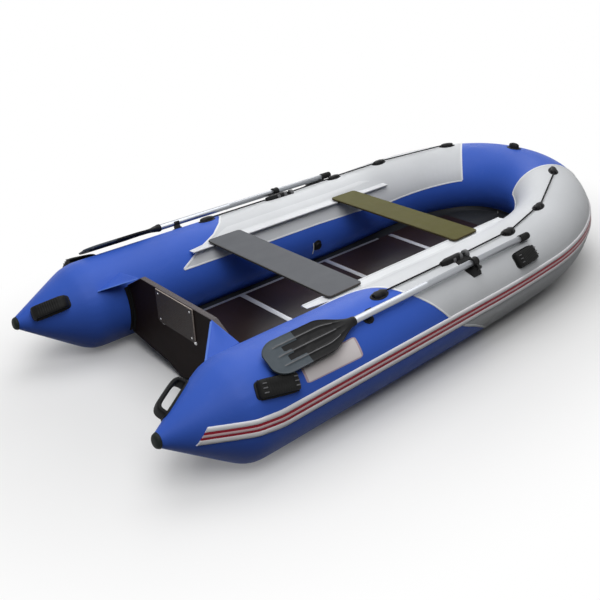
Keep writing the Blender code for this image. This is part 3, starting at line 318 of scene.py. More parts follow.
def noise(material, scale, detail=2.0, stretch=(1, 1, 1), rough=0.5):
    settings = {"Scale": scale, "Detail": detail, "Roughness": rough}
    return node(material, "ShaderNodeTexNoise", settings, Vector=position(material, stretch)).outputs["Fac"]


def ramp(material, value, stops):
    made = node(material, "ShaderNodeValToRGB", Fac=value)
    elements = made.color_ramp.elements
    while len(elements) < len(stops):
        elements.new(0.5)
    for element, (place, colour) in zip(elements, stops):
        element.position = place
        element.color = (*colour, 1)
    return made.outputs["Color"]


def scaled(colour, share):
    return tuple(min(1.0, c * share) for c in colour)


def mix(material, fac, first, second, kind="MIX"):
    made = node(material, "ShaderNodeMix", {"data_type": "RGBA", "blend_type": kind})
    feed(material, made, ((0, fac), (6, first), (7, second)))
    return made.outputs[2]


def maths(material, operation, first, second=0.0):
    made = node(material, "ShaderNodeMath", {"operation": operation})
    feed(material, made, ((0, first), (1, second)))
    return made.outputs[0]


def bump(material, height, distance, strength=1.0, **below):
    settings = {"Distance": distance, "Strength": strength}
    return node(material, "ShaderNodeBump", settings, Height=height, **below).outputs["Normal"]


def finish(material, tone, grain, roughness, normal):
    """Colour, a range of roughness and relief for a material."""
    low, high = roughness
    spread = node(material, "ShaderNodeMapRange", {"To Min": low, "To Max": high}, Value=grain)
    link(material, tone, "Base Color")
    link(material, spread.outputs["Result"], "Roughness")
    link(material, normal, "Normal")
    return material


def weave(material, pitch):
    """Crossed threads of coated cloth."""
    parts = []
    for rotation in ((0, 0, 0.6), (0.9, 0.5, 2.1)):
        wave = node(material, "ShaderNodeTexWave", {"Scale": 0.314 / pitch, "Distortion": 0.4},
                    Vector=position(material, rotation=rotation))
        parts.append(wave.outputs["Fac"])
    return maths(material, "ADD", *parts)


def coated_fabric(name, colour, dust=0.05, roughness=(0.40, 0.52), shine=0.17):
    """PVC-coated cloth: faint weave, soft tone change, scuffs and fine dimples."""
    material = new_material(name, colour, roughness[0], Specular_IOR_Level=shine)
    tone = ramp(material, noise(material, 2.2, 3), [(0.3, scaled(colour, 0.93)), (0.7, scaled(colour, 1.06))])
    scuffs = ramp(material, noise(material, 9, 5, (1, 3, 3)), [(0.60, (0, 0, 0)), (0.78, (dust,) * 3)])
    wavy = bump(material, noise(material, 7), 0.0035, 0.35)
    threads = bump(material, weave(material, 0.0016), 0.00012, 0.55, Normal=wavy)
    tone = mix(material, 1.0, tone, scuffs, "ADD")
    return finish(material, tone, noise(material, 55, 4), roughness, threads)


def moulded(name, colour, roughness=(0.42, 0.62), grain=0.00012, scale=420, worn=0.012, shine=0.25):
    """Moulded plastic or rubber: fine grain, paler rubbed places."""
    material = new_material(name, colour, roughness[0], Specular_IOR_Level=shine)
    rub = ramp(material, noise(material, 28, 4), [(0.45, colour), (0.8, tuple(c + worn for c in colour))])
    relief = bump(material, noise(material, scale, 3), grain, 0.8)
    return finish(material, rub, noise(material, 60, 3), roughness, relief)


def brushed(name, colour, stretch, roughness):
    """Drawn metal with lines along its length."""
    material = new_material(name, colour, roughness[0], 1.0)
    lines = noise(material, 90, 5, stretch, 0.65)
    tone = ramp(material, lines, [(0.3, scaled(colour, 0.86)), (0.7, scaled(colour, 1.05))])
    relief = bump(material, lines, 0.00008, 0.7)
    return finish(material, tone, noise(material, 14, 4, stretch), roughness, relief)


def along_axis(material, kind, output, axis):
    """One axis of a vector that a node gives."""
    vector = node(material, kind).outputs[output]
    return node(material, "ShaderNodeSeparateXYZ", Vector=vector).outputs[axis]


def faces_axis(material, axis):
    """1 where a face looks along an axis, else 0."""
    normal = along_axis(material, "ShaderNodeNewGeometry", "True Normal", axis)
    return maths(material, "GREATER_THAN", maths(material, "ABSOLUTE", normal), 0.8)


def plies(material, axis, pitch, light, dark):
    """Striped edge of plywood, veneers laid along an axis."""
    place = along_axis(material, "ShaderNodeTexCoord", "Object", axis)
    value = maths(material, "FRACT", maths(material, "DIVIDE", place, pitch))
    jitter = maths(material, "MULTIPLY", noise(material, 160, 3), 0.3)
    value = maths(material, "ADD", value, maths(material, "SUBTRACT", jitter, 0.15))
    return ramp(material, value, [(0.0, dark), (0.28, dark), (0.36, light), (0.94, light), (1.0, dark)])


def board(name, face, light, dark, axis, pitch, roughness, pattern, shine, tones=(0.85, 1.18)):
    """Plywood: coated faces across an axis, striped edges elsewhere."""
    material = new_material(name, face, roughness[0], Specular_IOR_Level=shine)
    mottle = ramp(material, noise(material, 5, 4, (1, 2.5, 1)),
                  [(0.3, scaled(face, tones[0])), (0.72, scaled(face, tones[1]))])
    tone = mix(material, faces_axis(material, axis), plies(material, axis, pitch, light, dark), mottle)
    if pattern == "film":
        grid = node(material, "ShaderNodeTexVoronoi", {"feature": "DISTANCE_TO_EDGE", "Scale": 240.0},
                    Vector=position(material))
        relief = bump(material, maths(material, "MINIMUM", grid.outputs["Distance"], 0.18), 0.0006, 0.35)
    else:
        relief = bump(material, noise(material, 70, 5, (6, 0.6, 6)), 0.00035, 0.6)
    return finish(material, tone, noise(material, 26, 4), roughness, relief)


def motor_pad_material():
    """Dark ribbed pad whose edge faces are painted pale as highlights."""
    material = moulded("motor_pad", (0.018, 0.012, 0.011), (0.4, 0.6), 0.0001, 300, 0.01)
    grain = noise(material, 60, 4)
    face = ramp(material, grain, [(0.3, (0.014, 0.009, 0.008)), (0.75, (0.030, 0.020, 0.018))])
    # Pale tone on the edge faces paints their highlights; the faces looking fore and aft stay dark.
    edge = ramp(material, grain, [(0.3, (0.30, 0.25, 0.22)), (0.7, (0.38, 0.33, 0.30))])
    link(material, mix(material, faces_axis(material, 0), edge, face), "Base Color")
    wave = node(material, "ShaderNodeTexWave", {"bands_direction": "Z", "Scale": 34.0, "wave_profile": "TRI"},
                Vector=position(material))
    link(material, bump(material, wave.outputs["Fac"], 0.0008, 0.6), "Normal")
    return material


def rope_material():
    material = new_material("braided_rope", (0.010, 0.010, 0.011), 0.75, Specular_IOR_Level=0.15)
    fibres = noise(material, 900)
    tone = ramp(material, fibres, [(0.35, (0.004, 0.004, 0.005)), (0.75, (0.018, 0.018, 0.020))])
    link(material, tone, "Base Color")
    link(material, bump(material, fibres, 0.0003, 0.8), "Normal")
    return material


BLUE = coated_fabric("tube_blue_fabric", (0.040, 0.112, 0.525), 0.010)
# Same blue cloth painted paler, as a highlight along the gusset bindings.
BLUE_EDGE_HIGHLIGHT = coated_fabric("edge_blue_painted_highlight", (0.09, 0.19, 0.62), 0.010)
GREY = coated_fabric("tube_grey_fabric", (0.64, 0.655, 0.675), 0.02)
PALE = coated_fabric("rail_fabric", (0.72, 0.735, 0.755), 0.02)
# Dark grey bottom cloth, painted darker still as the shade inside the hull.
BOTTOM_GREY_PAINTED_SHADE = coated_fabric("bottom_fabric", (0.022, 0.024, 0.028), 0.02, (0.5, 0.65))
STRAKE_PALE = moulded("strake_pale", (0.80, 0.79, 0.81), (0.4, 0.55), 0.00008, 300)
STRAKE_RED = moulded("strake_red", (0.30, 0.010, 0.025), (0.4, 0.55), 0.00008, 300, 0.006)
STRAKE_PINK = moulded("strake_pink", (0.66, 0.50, 0.52), (0.4, 0.55), 0.00008, 300)
PIPING = coated_fabric("piping_fabric", (0.86, 0.87, 0.88), 0.01)
BLACK = moulded("moulded_black", (0.0065, 0.0065, 0.007), worn=0.005, shine=0.14)
RUBBER = moulded("black_rubber", (0.0062, 0.0062, 0.0062), (0.45, 0.62), 0.0002, 300, 0.005, 0.12)
# Dark grey that paints highlights on the ridges of handles, rowlock bands and oar blades.
PAINTED_HIGHLIGHT = moulded("painted_highlight_black", (0.11, 0.11, 0.115), (0.35, 0.5), worn=0.03)
BLADE_GREY = moulded("blade_plate", (0.052, 0.066, 0.078), (0.42, 0.58))
CAP_RUBBER = moulded("cap_rubber", (0.009, 0.0125, 0.0115), (0.5, 0.7), worn=0.006, shine=0.15)
STEEL = brushed("bright_steel", (0.66, 0.66, 0.67), (1, 1, 1), (0.2, 0.32))
ALU_LONG = brushed("aluminium_along", (0.35, 0.365, 0.39), (0.02, 1, 1), (0.34, 0.48))
ALU_CROSS = brushed("aluminium_across", (0.62, 0.63, 0.65), (1, 0.02, 1), (0.42, 0.55))
ALU_STRINGER = brushed("aluminium_stringer", (0.62, 0.63, 0.65), (0.02, 1, 1), (0.42, 0.55))
FLOOR = board("floor_plywood", (0.018, 0.0105, 0.0092), (0.14, 0.08, 0.045), (0.04, 0.02, 0.012),
              2, 0.0016, (0.26, 0.4), "film", 0.25)
TRANSOM = board("transom_plywood", (0.0105, 0.0060, 0.0056), (0.15, 0.135, 0.14), (0.07, 0.06, 0.06),
                0, 0.0018, (0.42, 0.54), "film", 0.04)
SEAT_GREY = board("seat_plywood_grey", (0.108, 0.113, 0.124), (0.09, 0.085, 0.08), (0.03, 0.026, 0.022),
                  2, 0.0016, (0.5, 0.64), "grain", 0.08, (0.95, 1.05))
SEAT_OLIVE = board("seat_plywood_olive", (0.078, 0.072, 0.015), (0.08, 0.066, 0.03), (0.03, 0.025, 0.015),
                   2, 0.0016, (0.5, 0.64), "grain", 0.08, (0.95, 1.05))
MOTOR_PAD = motor_pad_material()
ROPE = rope_material()
LANYARD = moulded("pale_lanyard", (0.55, 0.56, 0.55), (0.5, 0.6), 0.0001, 300, 0.02)
PLATE = coated_fabric("plate_fabric", (0.74, 0.69, 0.69), 0.01)
PLATE_EDGE = coated_fabric("plate_edge", (0.52, 0.40, 0.42), 0.01)


# Buoyancy tube

SEAM_ANGLES = (26, 45, 61, 78, 94, 110, 122, 140, 161, 172, 184, 195, 207, 222, 240, 310)
SEAM_STATIONS = (0.765, 0.89, 1.018, 1.095, 1.140, 1.175, 1.212, 1.268, 1.330, 1.375, 1.432, 1.522,
                 1.597, 1.670, 1.720, 1.760)
BORDER_STATIONS = (0.5, 1.058, 1.316, 1.661, 1.923, 2.237, 2.7, 3.6)
BORDER_ANGLES = (27, 26, 23.5, 23, 20, 11, 10, 10)
PANEL_END = 284
PIPING_WIDTH, PIPING_HEIGHT = 0.010, 0.0024


def creases(station, angle):
    """Small folds on the tube's inboard side, where it bends to the bow."""
    away, turn = from_stern(station), np.radians(angle)
    bend = np.clip((away - STRAIGHT_END) / 0.5, 0, 1) * np.clip(np.cos(turn), 0, 1) ** 3
    return 0.0009 * bend * np.sin(away * 150 + 2.2 * np.sin(turn * 3))


def make_tube_skin():
    """One smooth airtight skin from cone to cone, puckered round the cones' seams."""
    half = np.concatenate([np.linspace(CONE_TIP, CONE_SHOULDER, 26),
                           np.linspace(CONE_SHOULDER + 0.012, APEX, 130)])
    stations = np.concatenate([half, 2 * APEX - half[-2::-1]])
    station, angle = np.meshgrid(stations, np.linspace(0, 360, 112, endpoint=False), indexing="ij")
    turn = np.radians(angle)
    blend = np.exp(-((from_stern(station) - CONE_SHOULDER) / 0.022) ** 2)
    puckers = 0.0006 * np.sin(turn * 31 + 3 * np.sin(turn * 2)) * blend - 0.0016 * blend
    points = tube(station, angle, puckers + creases(station, angle))
    piece("buoyancy_tube", points.reshape(-1, 3), grid_faces(*station.shape, wrap_cols=True), mats=[BLUE],
          smooth=180, slot="tube_blue", node=both("stern_tube") + ["bow_tube"])


def border(station):
    """Angle of the pale panel's inboard edge."""
    return np.interp(station, BORDER_STATIONS, BORDER_ANGLES)


def close_ended(ends, first, count):
    """Shares from 0 to 1 with close steps at both ends."""
    ends = np.array(ends)
    return np.concatenate([ends, np.linspace(first, 1 - first, count), 1 - ends[::-1]])


def grey_grid(side):
    """Stations, angles and heights of the pale side panel."""
    ends_u, ends_v = (0, 0.0006, 0.0016), (0, 0.0015, 0.004)
    u, v = np.meshgrid(close_ended(ends_u, 0.006, 150), close_ended(ends_v, 0.015, 76), indexing="ij")
    angle = SEAM_ANGLES[0] + v * (PANEL_END - SEAM_ANGLES[0])
    for _ in range(8):
        start = np.interp(angle, SEAM_ANGLES, SEAM_STATIONS)
        station = start + u * (BOW_SEAM - start)
        angle = border(station) + v * (PANEL_END - border(station))
    rise = np.minimum(np.minimum(u, 1 - u) / ends_u[-1], np.minimum(v, 1 - v) / ends_v[-1])
    return on_side(station, side), angle, -0.0004 + 0.0014 * np.clip(rise, 0, 1) ** 0.5


def make_grey_panels():
    for side, label in SIDES:
        station, angle, height = grey_grid(side)
        points = tube(station, angle, height + creases(station, angle))
        faces = grid_faces(*station.shape)
        if side < 0:
            faces = flipped(faces)
        piece("side_panel_" + label, points.reshape(-1, 3), faces, mats=[GREY], smooth=180, slot="tube_grey",
              node=["side_tube_" + label, "bow_quarter_" + label])


def surface_strip(build, station, angle, width, height, base=0.0008):
    """Rounded strip along a curve on the tube."""
    path = tube(station, angle, base)
    normals = (tube(station, angle, base + 0.01) - path) / 0.01
    build.loft(ribbon(path, normals, width, height))


def make_seam_tapes():
    """Piping along the colour seams and a cover strip under each cone."""
    piping, tapes = Build(), Build()
    for side, _ in SIDES:
        angles = np.linspace(27.5, PANEL_END - 1, 170)
        stations = on_side(np.interp(angles, SEAM_ANGLES, SEAM_STATIONS), side)
        surface_strip(piping, stations, angles, PIPING_WIDTH, PIPING_HEIGHT)
        angles = np.linspace(11, PANEL_END - 1, 150)
        surface_strip(piping, on_side(BOW_SEAM, side), angles, PIPING_WIDTH, PIPING_HEIGHT)
        stations = np.linspace(SEAM_STATIONS[0] + 0.01, BOW_SEAM, 190)
        surface_strip(piping, on_side(stations, side), border(stations), 0.009, 0.0020)
        stations = np.linspace(CONE_TIP + 0.03, CONE_SHOULDER - 0.012, 40)
        surface_strip(tapes, on_side(stations, side), -46, 0.022, 0.0009, base=-0.0002)
    piping.done("seam_piping", [PIPING], slot="tube_grey")
    tapes.done("cone_seam_tapes", [BLUE], slot="tube_blue")


STRAKE_MIDDLE, STRAKE_WIDTH, STRAKE_LIFT = 173.0, 0.070, 0.0004
STRAKE_TOP_START, STRAKE_BOTTOM_START, STRAKE_TURN_FROM, STRAKE_TURN = 0.153, 0.110, 0.42, -3.0
STRAKE_SHARES = np.array((0, 0.015, 0.045, 0.09, 0.14, 0.19, 0.235, 0.262, 0.272, 0.282, 0.345, 0.408,
                          0.418, 0.428, 0.485, 0.542, 0.552, 0.562, 0.625, 0.678, 0.688, 0.70, 0.74,
                          0.80, 0.86, 0.91, 0.955, 0.985, 1))
STRAKE_HEIGHTS = np.array((0.0006, 0.0030, 0.0046, 0.0057, 0.0061, 0.0059, 0.0053, 0.0045, 0.0040,
                           0.0039, 0.0039, 0.0039, 0.0040, 0.0044, 0.0046, 0.0044, 0.0040, 0.0039,
                           0.0039, 0.0039, 0.0040, 0.0046, 0.0054, 0.0060, 0.0061, 0.0057, 0.0046,
                           0.0030, 0.0006))
STRAKE_COLOURS = [0] * 8 + [1] * 4 + [2] * 4 + [1] * 4 + [0] * 8


def strake_row(value):
    """Stations and angles across the strake, from the cone (0 to 1) on to the bow (1 to 2)."""
    place = STRAKE_TOP_START + STRAKE_SHARES * (STRAKE_BOTTOM_START - STRAKE_TOP_START)
    place += min(1, value) * (CONE_SHOULDER - place) + max(0, value - 1) * (APEX - CONE_SHOULDER)
    ease = np.clip((STRAKE_TURN_FROM - place) / (STRAKE_TURN_FROM - CONE_SHOULDER), 0, 1)
    half_span = np.degrees(0.5 * (STRAKE_WIDTH - 0.005 * ease) / radius_at(place))
    return place, STRAKE_MIDDLE + (2 * STRAKE_SHARES - 1) * half_span + STRAKE_TURN * ease_in_out(ease)


def make_strake():
    """Moulded rub strake: two pale ridges and two red lines with a pink middle."""
    values = np.concatenate([np.linspace(0, 1, 16, endpoint=False), np.linspace(1, 2, 150)])
    rows = [strake_row(value) for value in values]
    order = [(1, row, STRAKE_HEIGHTS + STRAKE_LIFT) for row in rows]
    order += [(-1, row, STRAKE_HEIGHTS + STRAKE_LIFT) for row in rows[-2::-1]]
    order = [(1, rows[0], 0.0)] + order + [(-1, rows[0], 0.0)]
    verts = np.concatenate([tube(on_side(place, side), angle, height)
                            for side, (place, angle), height in order])
    obj = piece("strake_profile", verts, grid_faces(len(order), len(STRAKE_SHARES)),
                mats=[STRAKE_PALE, STRAKE_RED, STRAKE_PINK], indices=STRAKE_COLOURS * (len(order) - 1),
                smooth=50, node="rub_strake", slot="strake")
    fix_normals(obj)


# Bottom, transom and gussets

BOTTOM_EDGE, BOTTOM_LEVEL, KEEL_HALF, KEEL_DEPTH = -50, 0.05165, 0.13, 0.0385


def bottom_half_row(station):
    """Half a section of the bottom cloth, centre to port edge."""
    raised = np.clip((TRANSOM_FORE - station) / (TRANSOM_FORE - TRANSOM_AFT), 0, 1)
    edge = tube(station, BOTTOM_EDGE + raised * 14.5, 0.0014)
    lift = 0.048 * max(0.0, (edge[0] + LENGTH / 2 - 2.2205) / 0.4125) ** 1.5
    flat = BOTTOM_LEVEL + lift
    fade = min(1.0, edge[1] / 0.38)
    keel = KEEL_HALF * fade
    points = [(edge[0], share * keel, flat - KEEL_DEPTH * fade * (1 - ease_in_out(share)))
              for share in np.linspace(0, 1, 14)]
    for share in np.linspace(0, 1, 12)[1:]:
        base = flat + 0.034 * raised * share
        height = base + (edge[2] - base) * max(0.0, (share - 0.86) / 0.14)
        points.append((edge[0], keel + share * (edge[1] - keel), height))
    return np.array(points)


def make_bottom():
    """Bottom cloth with its keel swell and the glued strips."""
    stations = np.concatenate([np.linspace(TRANSOM_AFT, TRANSOM_FORE, 5), np.linspace(0.53, 3.02, 90),
                               np.linspace(3.03, APEX - 0.0005, 30)])
    halves = [bottom_half_row(station) for station in stations]
    rows = np.array([np.concatenate([half[:0:-1] * (1, -1, 1), half])
                     for half in halves if half[-1][1] >= 0.0002])
    cloth, faces = Build(), grid_faces(*rows.shape[:2])
    cloth.add(rows.reshape(-1, 3), faces)
    cloth.add((rows - (0, 0, 0.0013)).reshape(-1, 3), flipped(faces))
    # The cloth's near-black colour is partly painted shade.
    piece("bottom_cloth", cloth.verts, cloth.faces, mats=[BOTTOM_GREY_PAINTED_SHADE], smooth=180, node="hull_bottom",
          slot="bottom_fabric")
    strips = Build()
    stations = np.linspace(0.52, 3.20, 180)
    stations = stations[tube(stations, BOTTOM_EDGE)[:, 0] < rows[-1, -1, 0]]
    for side, _ in SIDES:
        surface_strip(strips, on_side(stations, side), -56, 0.034, 0.0010, base=0.0009)
    middle = rows[4:-4, rows.shape[1] // 2] - (0, 0, 0.0016)
    strips.loft(ribbon(middle, np.tile((0, 0, -1.0), (len(middle), 1)), 0.055, 0.0009))
    strips.done("bottom_strips", [BOTTOM_GREY_PAINTED_SHADE], slot="bottom_fabric")


GUSSET_AFT, GUSSET_FORE, GUSSET_ANGLE, GUSSET_TURN, GUSSET_OFFSET = 0.336, 0.4724, 37.7, 13.8, 0.0012


def gusset_rows(side):
    """Grid of a gusset flap between the transom's top corner and the tube."""
    tip = np.array((GUSSET_FORE - LENGTH / 2, 0.276, 0.4052))
    last = tube(GUSSET_AFT, GUSSET_ANGLE, GUSSET_OFFSET)
    rows = []
    for share in np.linspace(0, 1, 22):
        station = GUSSET_AFT + share * (GUSSET_FORE - GUSSET_AFT)
        foot = tube(station, GUSSET_ANGLE + share * GUSSET_TURN, GUSSET_OFFSET)
        start = tip + (last - tip) * 0.05 * (1 - share)
        sag = 0.004 * math.sin(math.pi * min(1, share * 1.1))
        rows.append([start + (foot - start) * part - np.array((0, 0, sag * math.sin(math.pi * part)))
                     for part in np.linspace(0, 1, 16)])
    return np.array(rows) * (1, side, 1)


def make_gussets():
    """Cloth flaps with a bound edge from transom to tube, the binding painted paler blue as a highlight."""
    for side, label in SIDES:
        rows = gusset_rows(side)
        normal = np.cross(rows[-1, 0] - rows[0, -1], rows[-1, -1] - rows[0, -1])
        normal *= np.sign(normal[2]) / np.linalg.norm(normal)
        build = Build()
        build.shell(rows + 0.0007 * normal, rows - 0.0007 * normal)
        flap = build.done("gusset_flap_" + label, [BLUE], node="gusset_" + label, slot="tube_blue")
        edge = rows[0, -1] - rows[0, 0]
        edge /= np.linalg.norm(edge)
        binding = Build()
        path = rows[0] + 0.0007 * normal
        binding.loft(ribbon(path, np.tile(normal, (len(path), 1)), 0.009, 0.0016))
        binding.done("gusset_binding_" + label, [BLUE_EDGE_HIGHLIGHT], slot="tube_blue")


SCREW_PROFILE = ((1.5, 0), (1.5, 0.25), (1.42, 0.34), (1, 0.36), (0.96, 0.7), (0.7, 0.94), (0.3, 1))


def screw(build, origin, axis, radius, rise):
    """Domed head on a washer."""
    profile = [(radius * wide, rise * high) for wide, high in SCREW_PROFILE] + [(0.0004, rise)]
    build.turn(profile, 24, pointing(origin, axis))


def make_transom_fittings():
    """Bolts through the transom and screws in its pad."""
    build = Build()
    aft, fore, plate = (station - LENGTH / 2 for station in (TRANSOM_AFT, TRANSOM_FORE, 0.4667))
    for across, height in ((0.109, 0.246), (-0.139, 0.243)):
        screw(build, (aft, across, height), (-1, 0, 0), 0.0065, 0.006)
        screw(build, (fore, across, height), (1, 0, 0), 0.0055, 0.007)
    for across in (-0.122, 0.122):
        for height in (0.262, 0.385):
            screw(build, (plate, across, height), (-1, 0, 0), 0.0034, 0.002)
    build.done("transom_bolts", [STEEL], slot="profile")


def make_cone_caps():
    """Small rounded end caps on the cone tips."""
    for side, label in SIDES:
        tip, further = centre(on_side(0.018, side)), centre(on_side(0.118, side))
        build = Build()
        build.turn([(0.0270, -0.002), (0.0292, 0.0), (0.0300, 0.0006), (0.0298, 0.0024), (0.0286, 0.0050),
                    (0.0279, 0.0056), (0.0281, 0.0066), (0.0268, 0.0096), (0.0248, 0.0126), (0.0214, 0.0150),
                    (0.0162, 0.0168), (0.0088, 0.0176), (0.0004, 0.0178)], 64, pointing(tip, tip - further))
        build.done("tip_cap_" + label, [CAP_RUBBER], node="cone_cap_" + label, slot="moulded_rubber",
                   smooth=50)


# Fittings on the tube

CROWN_BASE = ((-0.0014, 1.0), (0.0018, 1.0), (0.0030, 0.92), (0.0036, 0.80))
CROWN_BASE_LENGTH, CROWN_BASE_WIDTH, CROWN_RIVET = 0.050, 0.0275, 0.0425


def crown_mesh(build, matrix, size, hole, hole_height):
    """Low moulded rope holder with wings and a tunnel, riveted on its base."""
    length, width, height = size
    rings = []
    for t in np.linspace(-1, 1, 17):
        half = width / 2 * math.sqrt(max(0.0, 1 - 0.62 * t * t)) * (1 - 0.12 * math.cos(math.pi * t * 2))
        top = height * (0.80 + 0.20 * (1 - t * t))
        section = [(t * length / 2, signed_power(math.cos(turn), 0.8) * half,
                    max(0.0, top * math.sin(turn) ** 0.72)) for turn in np.linspace(0, math.pi, 15)]
        rings.append(section + [(t * length / 2, 0.0, -0.0006)])
    for t in (1, 0.9, -0.9, -1):
        rings.append([(t * length / 2, hole * math.cos(turn), hole_height + hole * math.sin(turn))
                      for turn in circle(16)])
    build.loft(rings, loop=True, transform=matrix)
    rings = []
    for level, grow in CROWN_BASE:
        ring = []
        for t in circle(48):
            along = CROWN_BASE_LENGTH * grow * signed_power(math.cos(t), 0.85)
            across = CROWN_BASE_WIDTH * grow * signed_power(math.sin(t), 0.8)
            across *= 1 - 0.22 * (along / CROWN_BASE_LENGTH) ** 2
            ring.append((along, across, level - across * across / (2 * RADIUS)))
        rings.append(ring)
    build.loft(rings, transform=matrix)
    for along in (-CROWN_RIVET, CROWN_RIVET):
        build.turn([(0.0034, 0.0028), (0.0034, 0.0044), (0.0022, 0.0050), (0.0003, 0.0050)], 14,
                   matrix @ Matrix.Translation((along, 0, 0)))


TIES = ((1.072, 100), (1.545, 100), (1.997, 100), (2.345, 90), (2.830, 90))
ROWLOCK_TIE, ROWLOCK_TIE_LENGTH, TIE_LENGTH = 1, 0.150, 0.062
ROPE_RADIUS, ROPE_HEIGHT = 0.004, 0.0095


def make_crowns():
    """Bow eye and rope holders. The rowlock's holder is on the CAD base."""
    for side, label in SIDES:
        build = Build()
        for index, (station, angle) in enumerate(TIES):
            if index != ROWLOCK_TIE:
                crown_mesh(build, seat(station, angle, side), (0.072, 0.040, 0.0205), 0.0047, ROPE_HEIGHT)
        build.done("rope_holders_" + label, [BLACK], slot="moulded_black")
    build = Build()
    matrix = Matrix.Translation(Vector(tube(APEX, 90))) @ Matrix.Rotation(math.pi / 2, 4, "Z")
    crown_mesh(build, matrix, (0.060, 0.036, 0.032), 0.009, 0.032 * 0.52)
    build.done("bow_eye_fitting", [BLACK], slot="moulded_black")


def rope_route(side):
    """Straight runs of the safety rope, through its holders."""
    route = []
    for index, (station, angle) in enumerate(TIES):
        length = ROWLOCK_TIE_LENGTH if index == ROWLOCK_TIE else TIE_LENGTH
        aft = -length / 4 if index == 0 else -length / 2
        fore = length / 4 if index == len(TIES) - 1 else length / 2
        for along in (aft, fore):
            route.append(seat(station, angle, side) @ Vector((along, 0, ROPE_HEIGHT)))
    return route


def rope_mesh(points, radius, strands=3, pitch=0.028, sides=18, step=0.0035):
    """Laid rope: the strands show as twisted lobes."""
    path = [points[0]]
    for first, second in zip(points, points[1:]):
        count = max(1, int((second - first).length / step))
        path += [first.lerp(second, i / count) for i in range(1, count + 1)]
    build, rings, travelled = Build(), [], 0.0
    for i, point in enumerate(path):
        tangent = (path[min(i + 1, len(path) - 1)] - path[max(i - 1, 0)]).normalized()
        across = tangent.cross(Vector((0, 0, 1))).normalized()
        lift = across.cross(tangent)
        travelled += (point - path[max(i - 1, 0)]).length
        ring = []
        for turn in circle(sides):
            lobe = abs(math.cos(strands / 2 * (turn - 2 * math.pi * travelled / pitch)))
            reach = radius * (0.86 + 0.14 * lobe ** 0.6)
            ring.append(point + across * (reach * math.cos(turn)) + lift * (reach * math.sin(turn)))
        rings.append(ring)
    build.loft(rings)
    return build, path


def make_lifelines():
    for side, label in SIDES:
        route = rope_route(side)
        build, path = rope_mesh(route, ROPE_RADIUS)
        rope = build.done("safety_rope_" + label, [ROPE], node="lifeline_" + label, slot="rope", smooth=60)


VALVE_STATION, LANYARD_STATION, VALVE_ANGLE = 1.621, 1.5905, -10
CAP_RADIUS, CAP_RIB = 0.0205, 0.0009


def valve_cap(matrix):
    """Turning cap: a body with a ribbed rim, and a raised bar."""
    build, rings = Build(), []
    for radius, height in ((0.0167, 0.0163), (0.0167, 0.0048), (CAP_RADIUS, 0.0046), (CAP_RADIUS, 0.0155),
                           (0.0196, 0.0170), (0.0180, 0.0178), (0.0100, 0.0180), (0.0096, 0.0172),
                           (0.0005, 0.0172)):
        depth = CAP_RIB if radius == CAP_RADIUS else 0.0
        reaches = [(turn, radius - depth * (0.5 + 0.5 * math.cos(24 * turn))) for turn in circle(96)]
        rings.append([(reach * math.cos(turn), reach * math.sin(turn), height) for turn, reach in reaches])
    build.loft(rings, transform=matrix)
    build.box((-0.0088, -0.0014, 0.0168), (0.0088, 0.0014, 0.0176), 0.0003, 0, matrix)
    return build


def make_valves():
    """Valve flange, ribbed cap and lanyard."""
    for side, label in SIDES:
        matrix = seat(VALVE_STATION, VALVE_ANGLE, side)
        flange = Build()
        flange.turn([(0.0310, -0.001), (0.0310, 0.0010), (0.0300, 0.0018), (0.0275, 0.0020), (0.0270, 0.0034),
                     (0.0255, 0.0042), (0.0205, 0.0042), (0.0200, 0.0050), (0.0160, 0.0050), (0.0160, 0.0155),
                     (0.0110, 0.0158), (0.0108, 0.0080), (0.0005, 0.0080)], 56, matrix)
        for turn in circle(12):
            flange.box((0.0212, -0.0009, 0.0036), (0.0262, 0.0009, 0.0050), 0.0003, 0,
                       matrix @ Matrix.Rotation(turn, 4, "Z"))
        flange.done("valve_flange_" + label, [BLACK], slot="moulded_black")
        valve_cap(matrix).done("valve_lid_" + label, [BLACK], body=label + "_valve_cap",
                               node="valve_cap_" + label, slot="moulded_black")
        strap, down, path = Build(), seat(LANYARD_STATION, VALVE_ANGLE, side), []
        for t in np.linspace(0, 1, 26):
            arch = math.sin(math.pi * t)
            path.append(down @ Vector((0.001 * arch, side * (0.0232 - 0.0712 * t), 0.0005 + 0.0045 * arch)))
        strap.loft(ribbon(path, [down.to_3x3() @ Vector((0, 0, 1))] * len(path), 0.0055, 0.0016))
        strap.done("valve_lanyard_" + label, [LANYARD], slot="moulded_black")


def superellipse(width, height, power, count):
    return [(width / 2 * signed_power(math.cos(turn), 2 / power),
             height / 2 * signed_power(math.sin(turn), 2 / power)) for turn in circle(count)]


def smoothed(values):
    """Running mean of nine."""
    return np.convolve(np.pad(values, 4, mode="edge"), np.ones(9) / 9, "valid")


HANDLES = (
    ("stern_grab_", "cone_handle_", 0.146, 40, (0.162, 0.068, 0.034, 0.0185), 0, False),
    ("aft_grab_", "aft_handle_", 0.418, 141, (0.172, 0.076, 0.016, 0.018), 12, True),
    ("fore_grab_", "fore_handle_", 1.952, 142, (0.150, 0.082, 0.016, 0.019), 0, True))
PAD_STEPS = ((-0.0016, 1.0), (0.0030, 1.0), (0.0044, 0.97), (0.0052, 0.90))


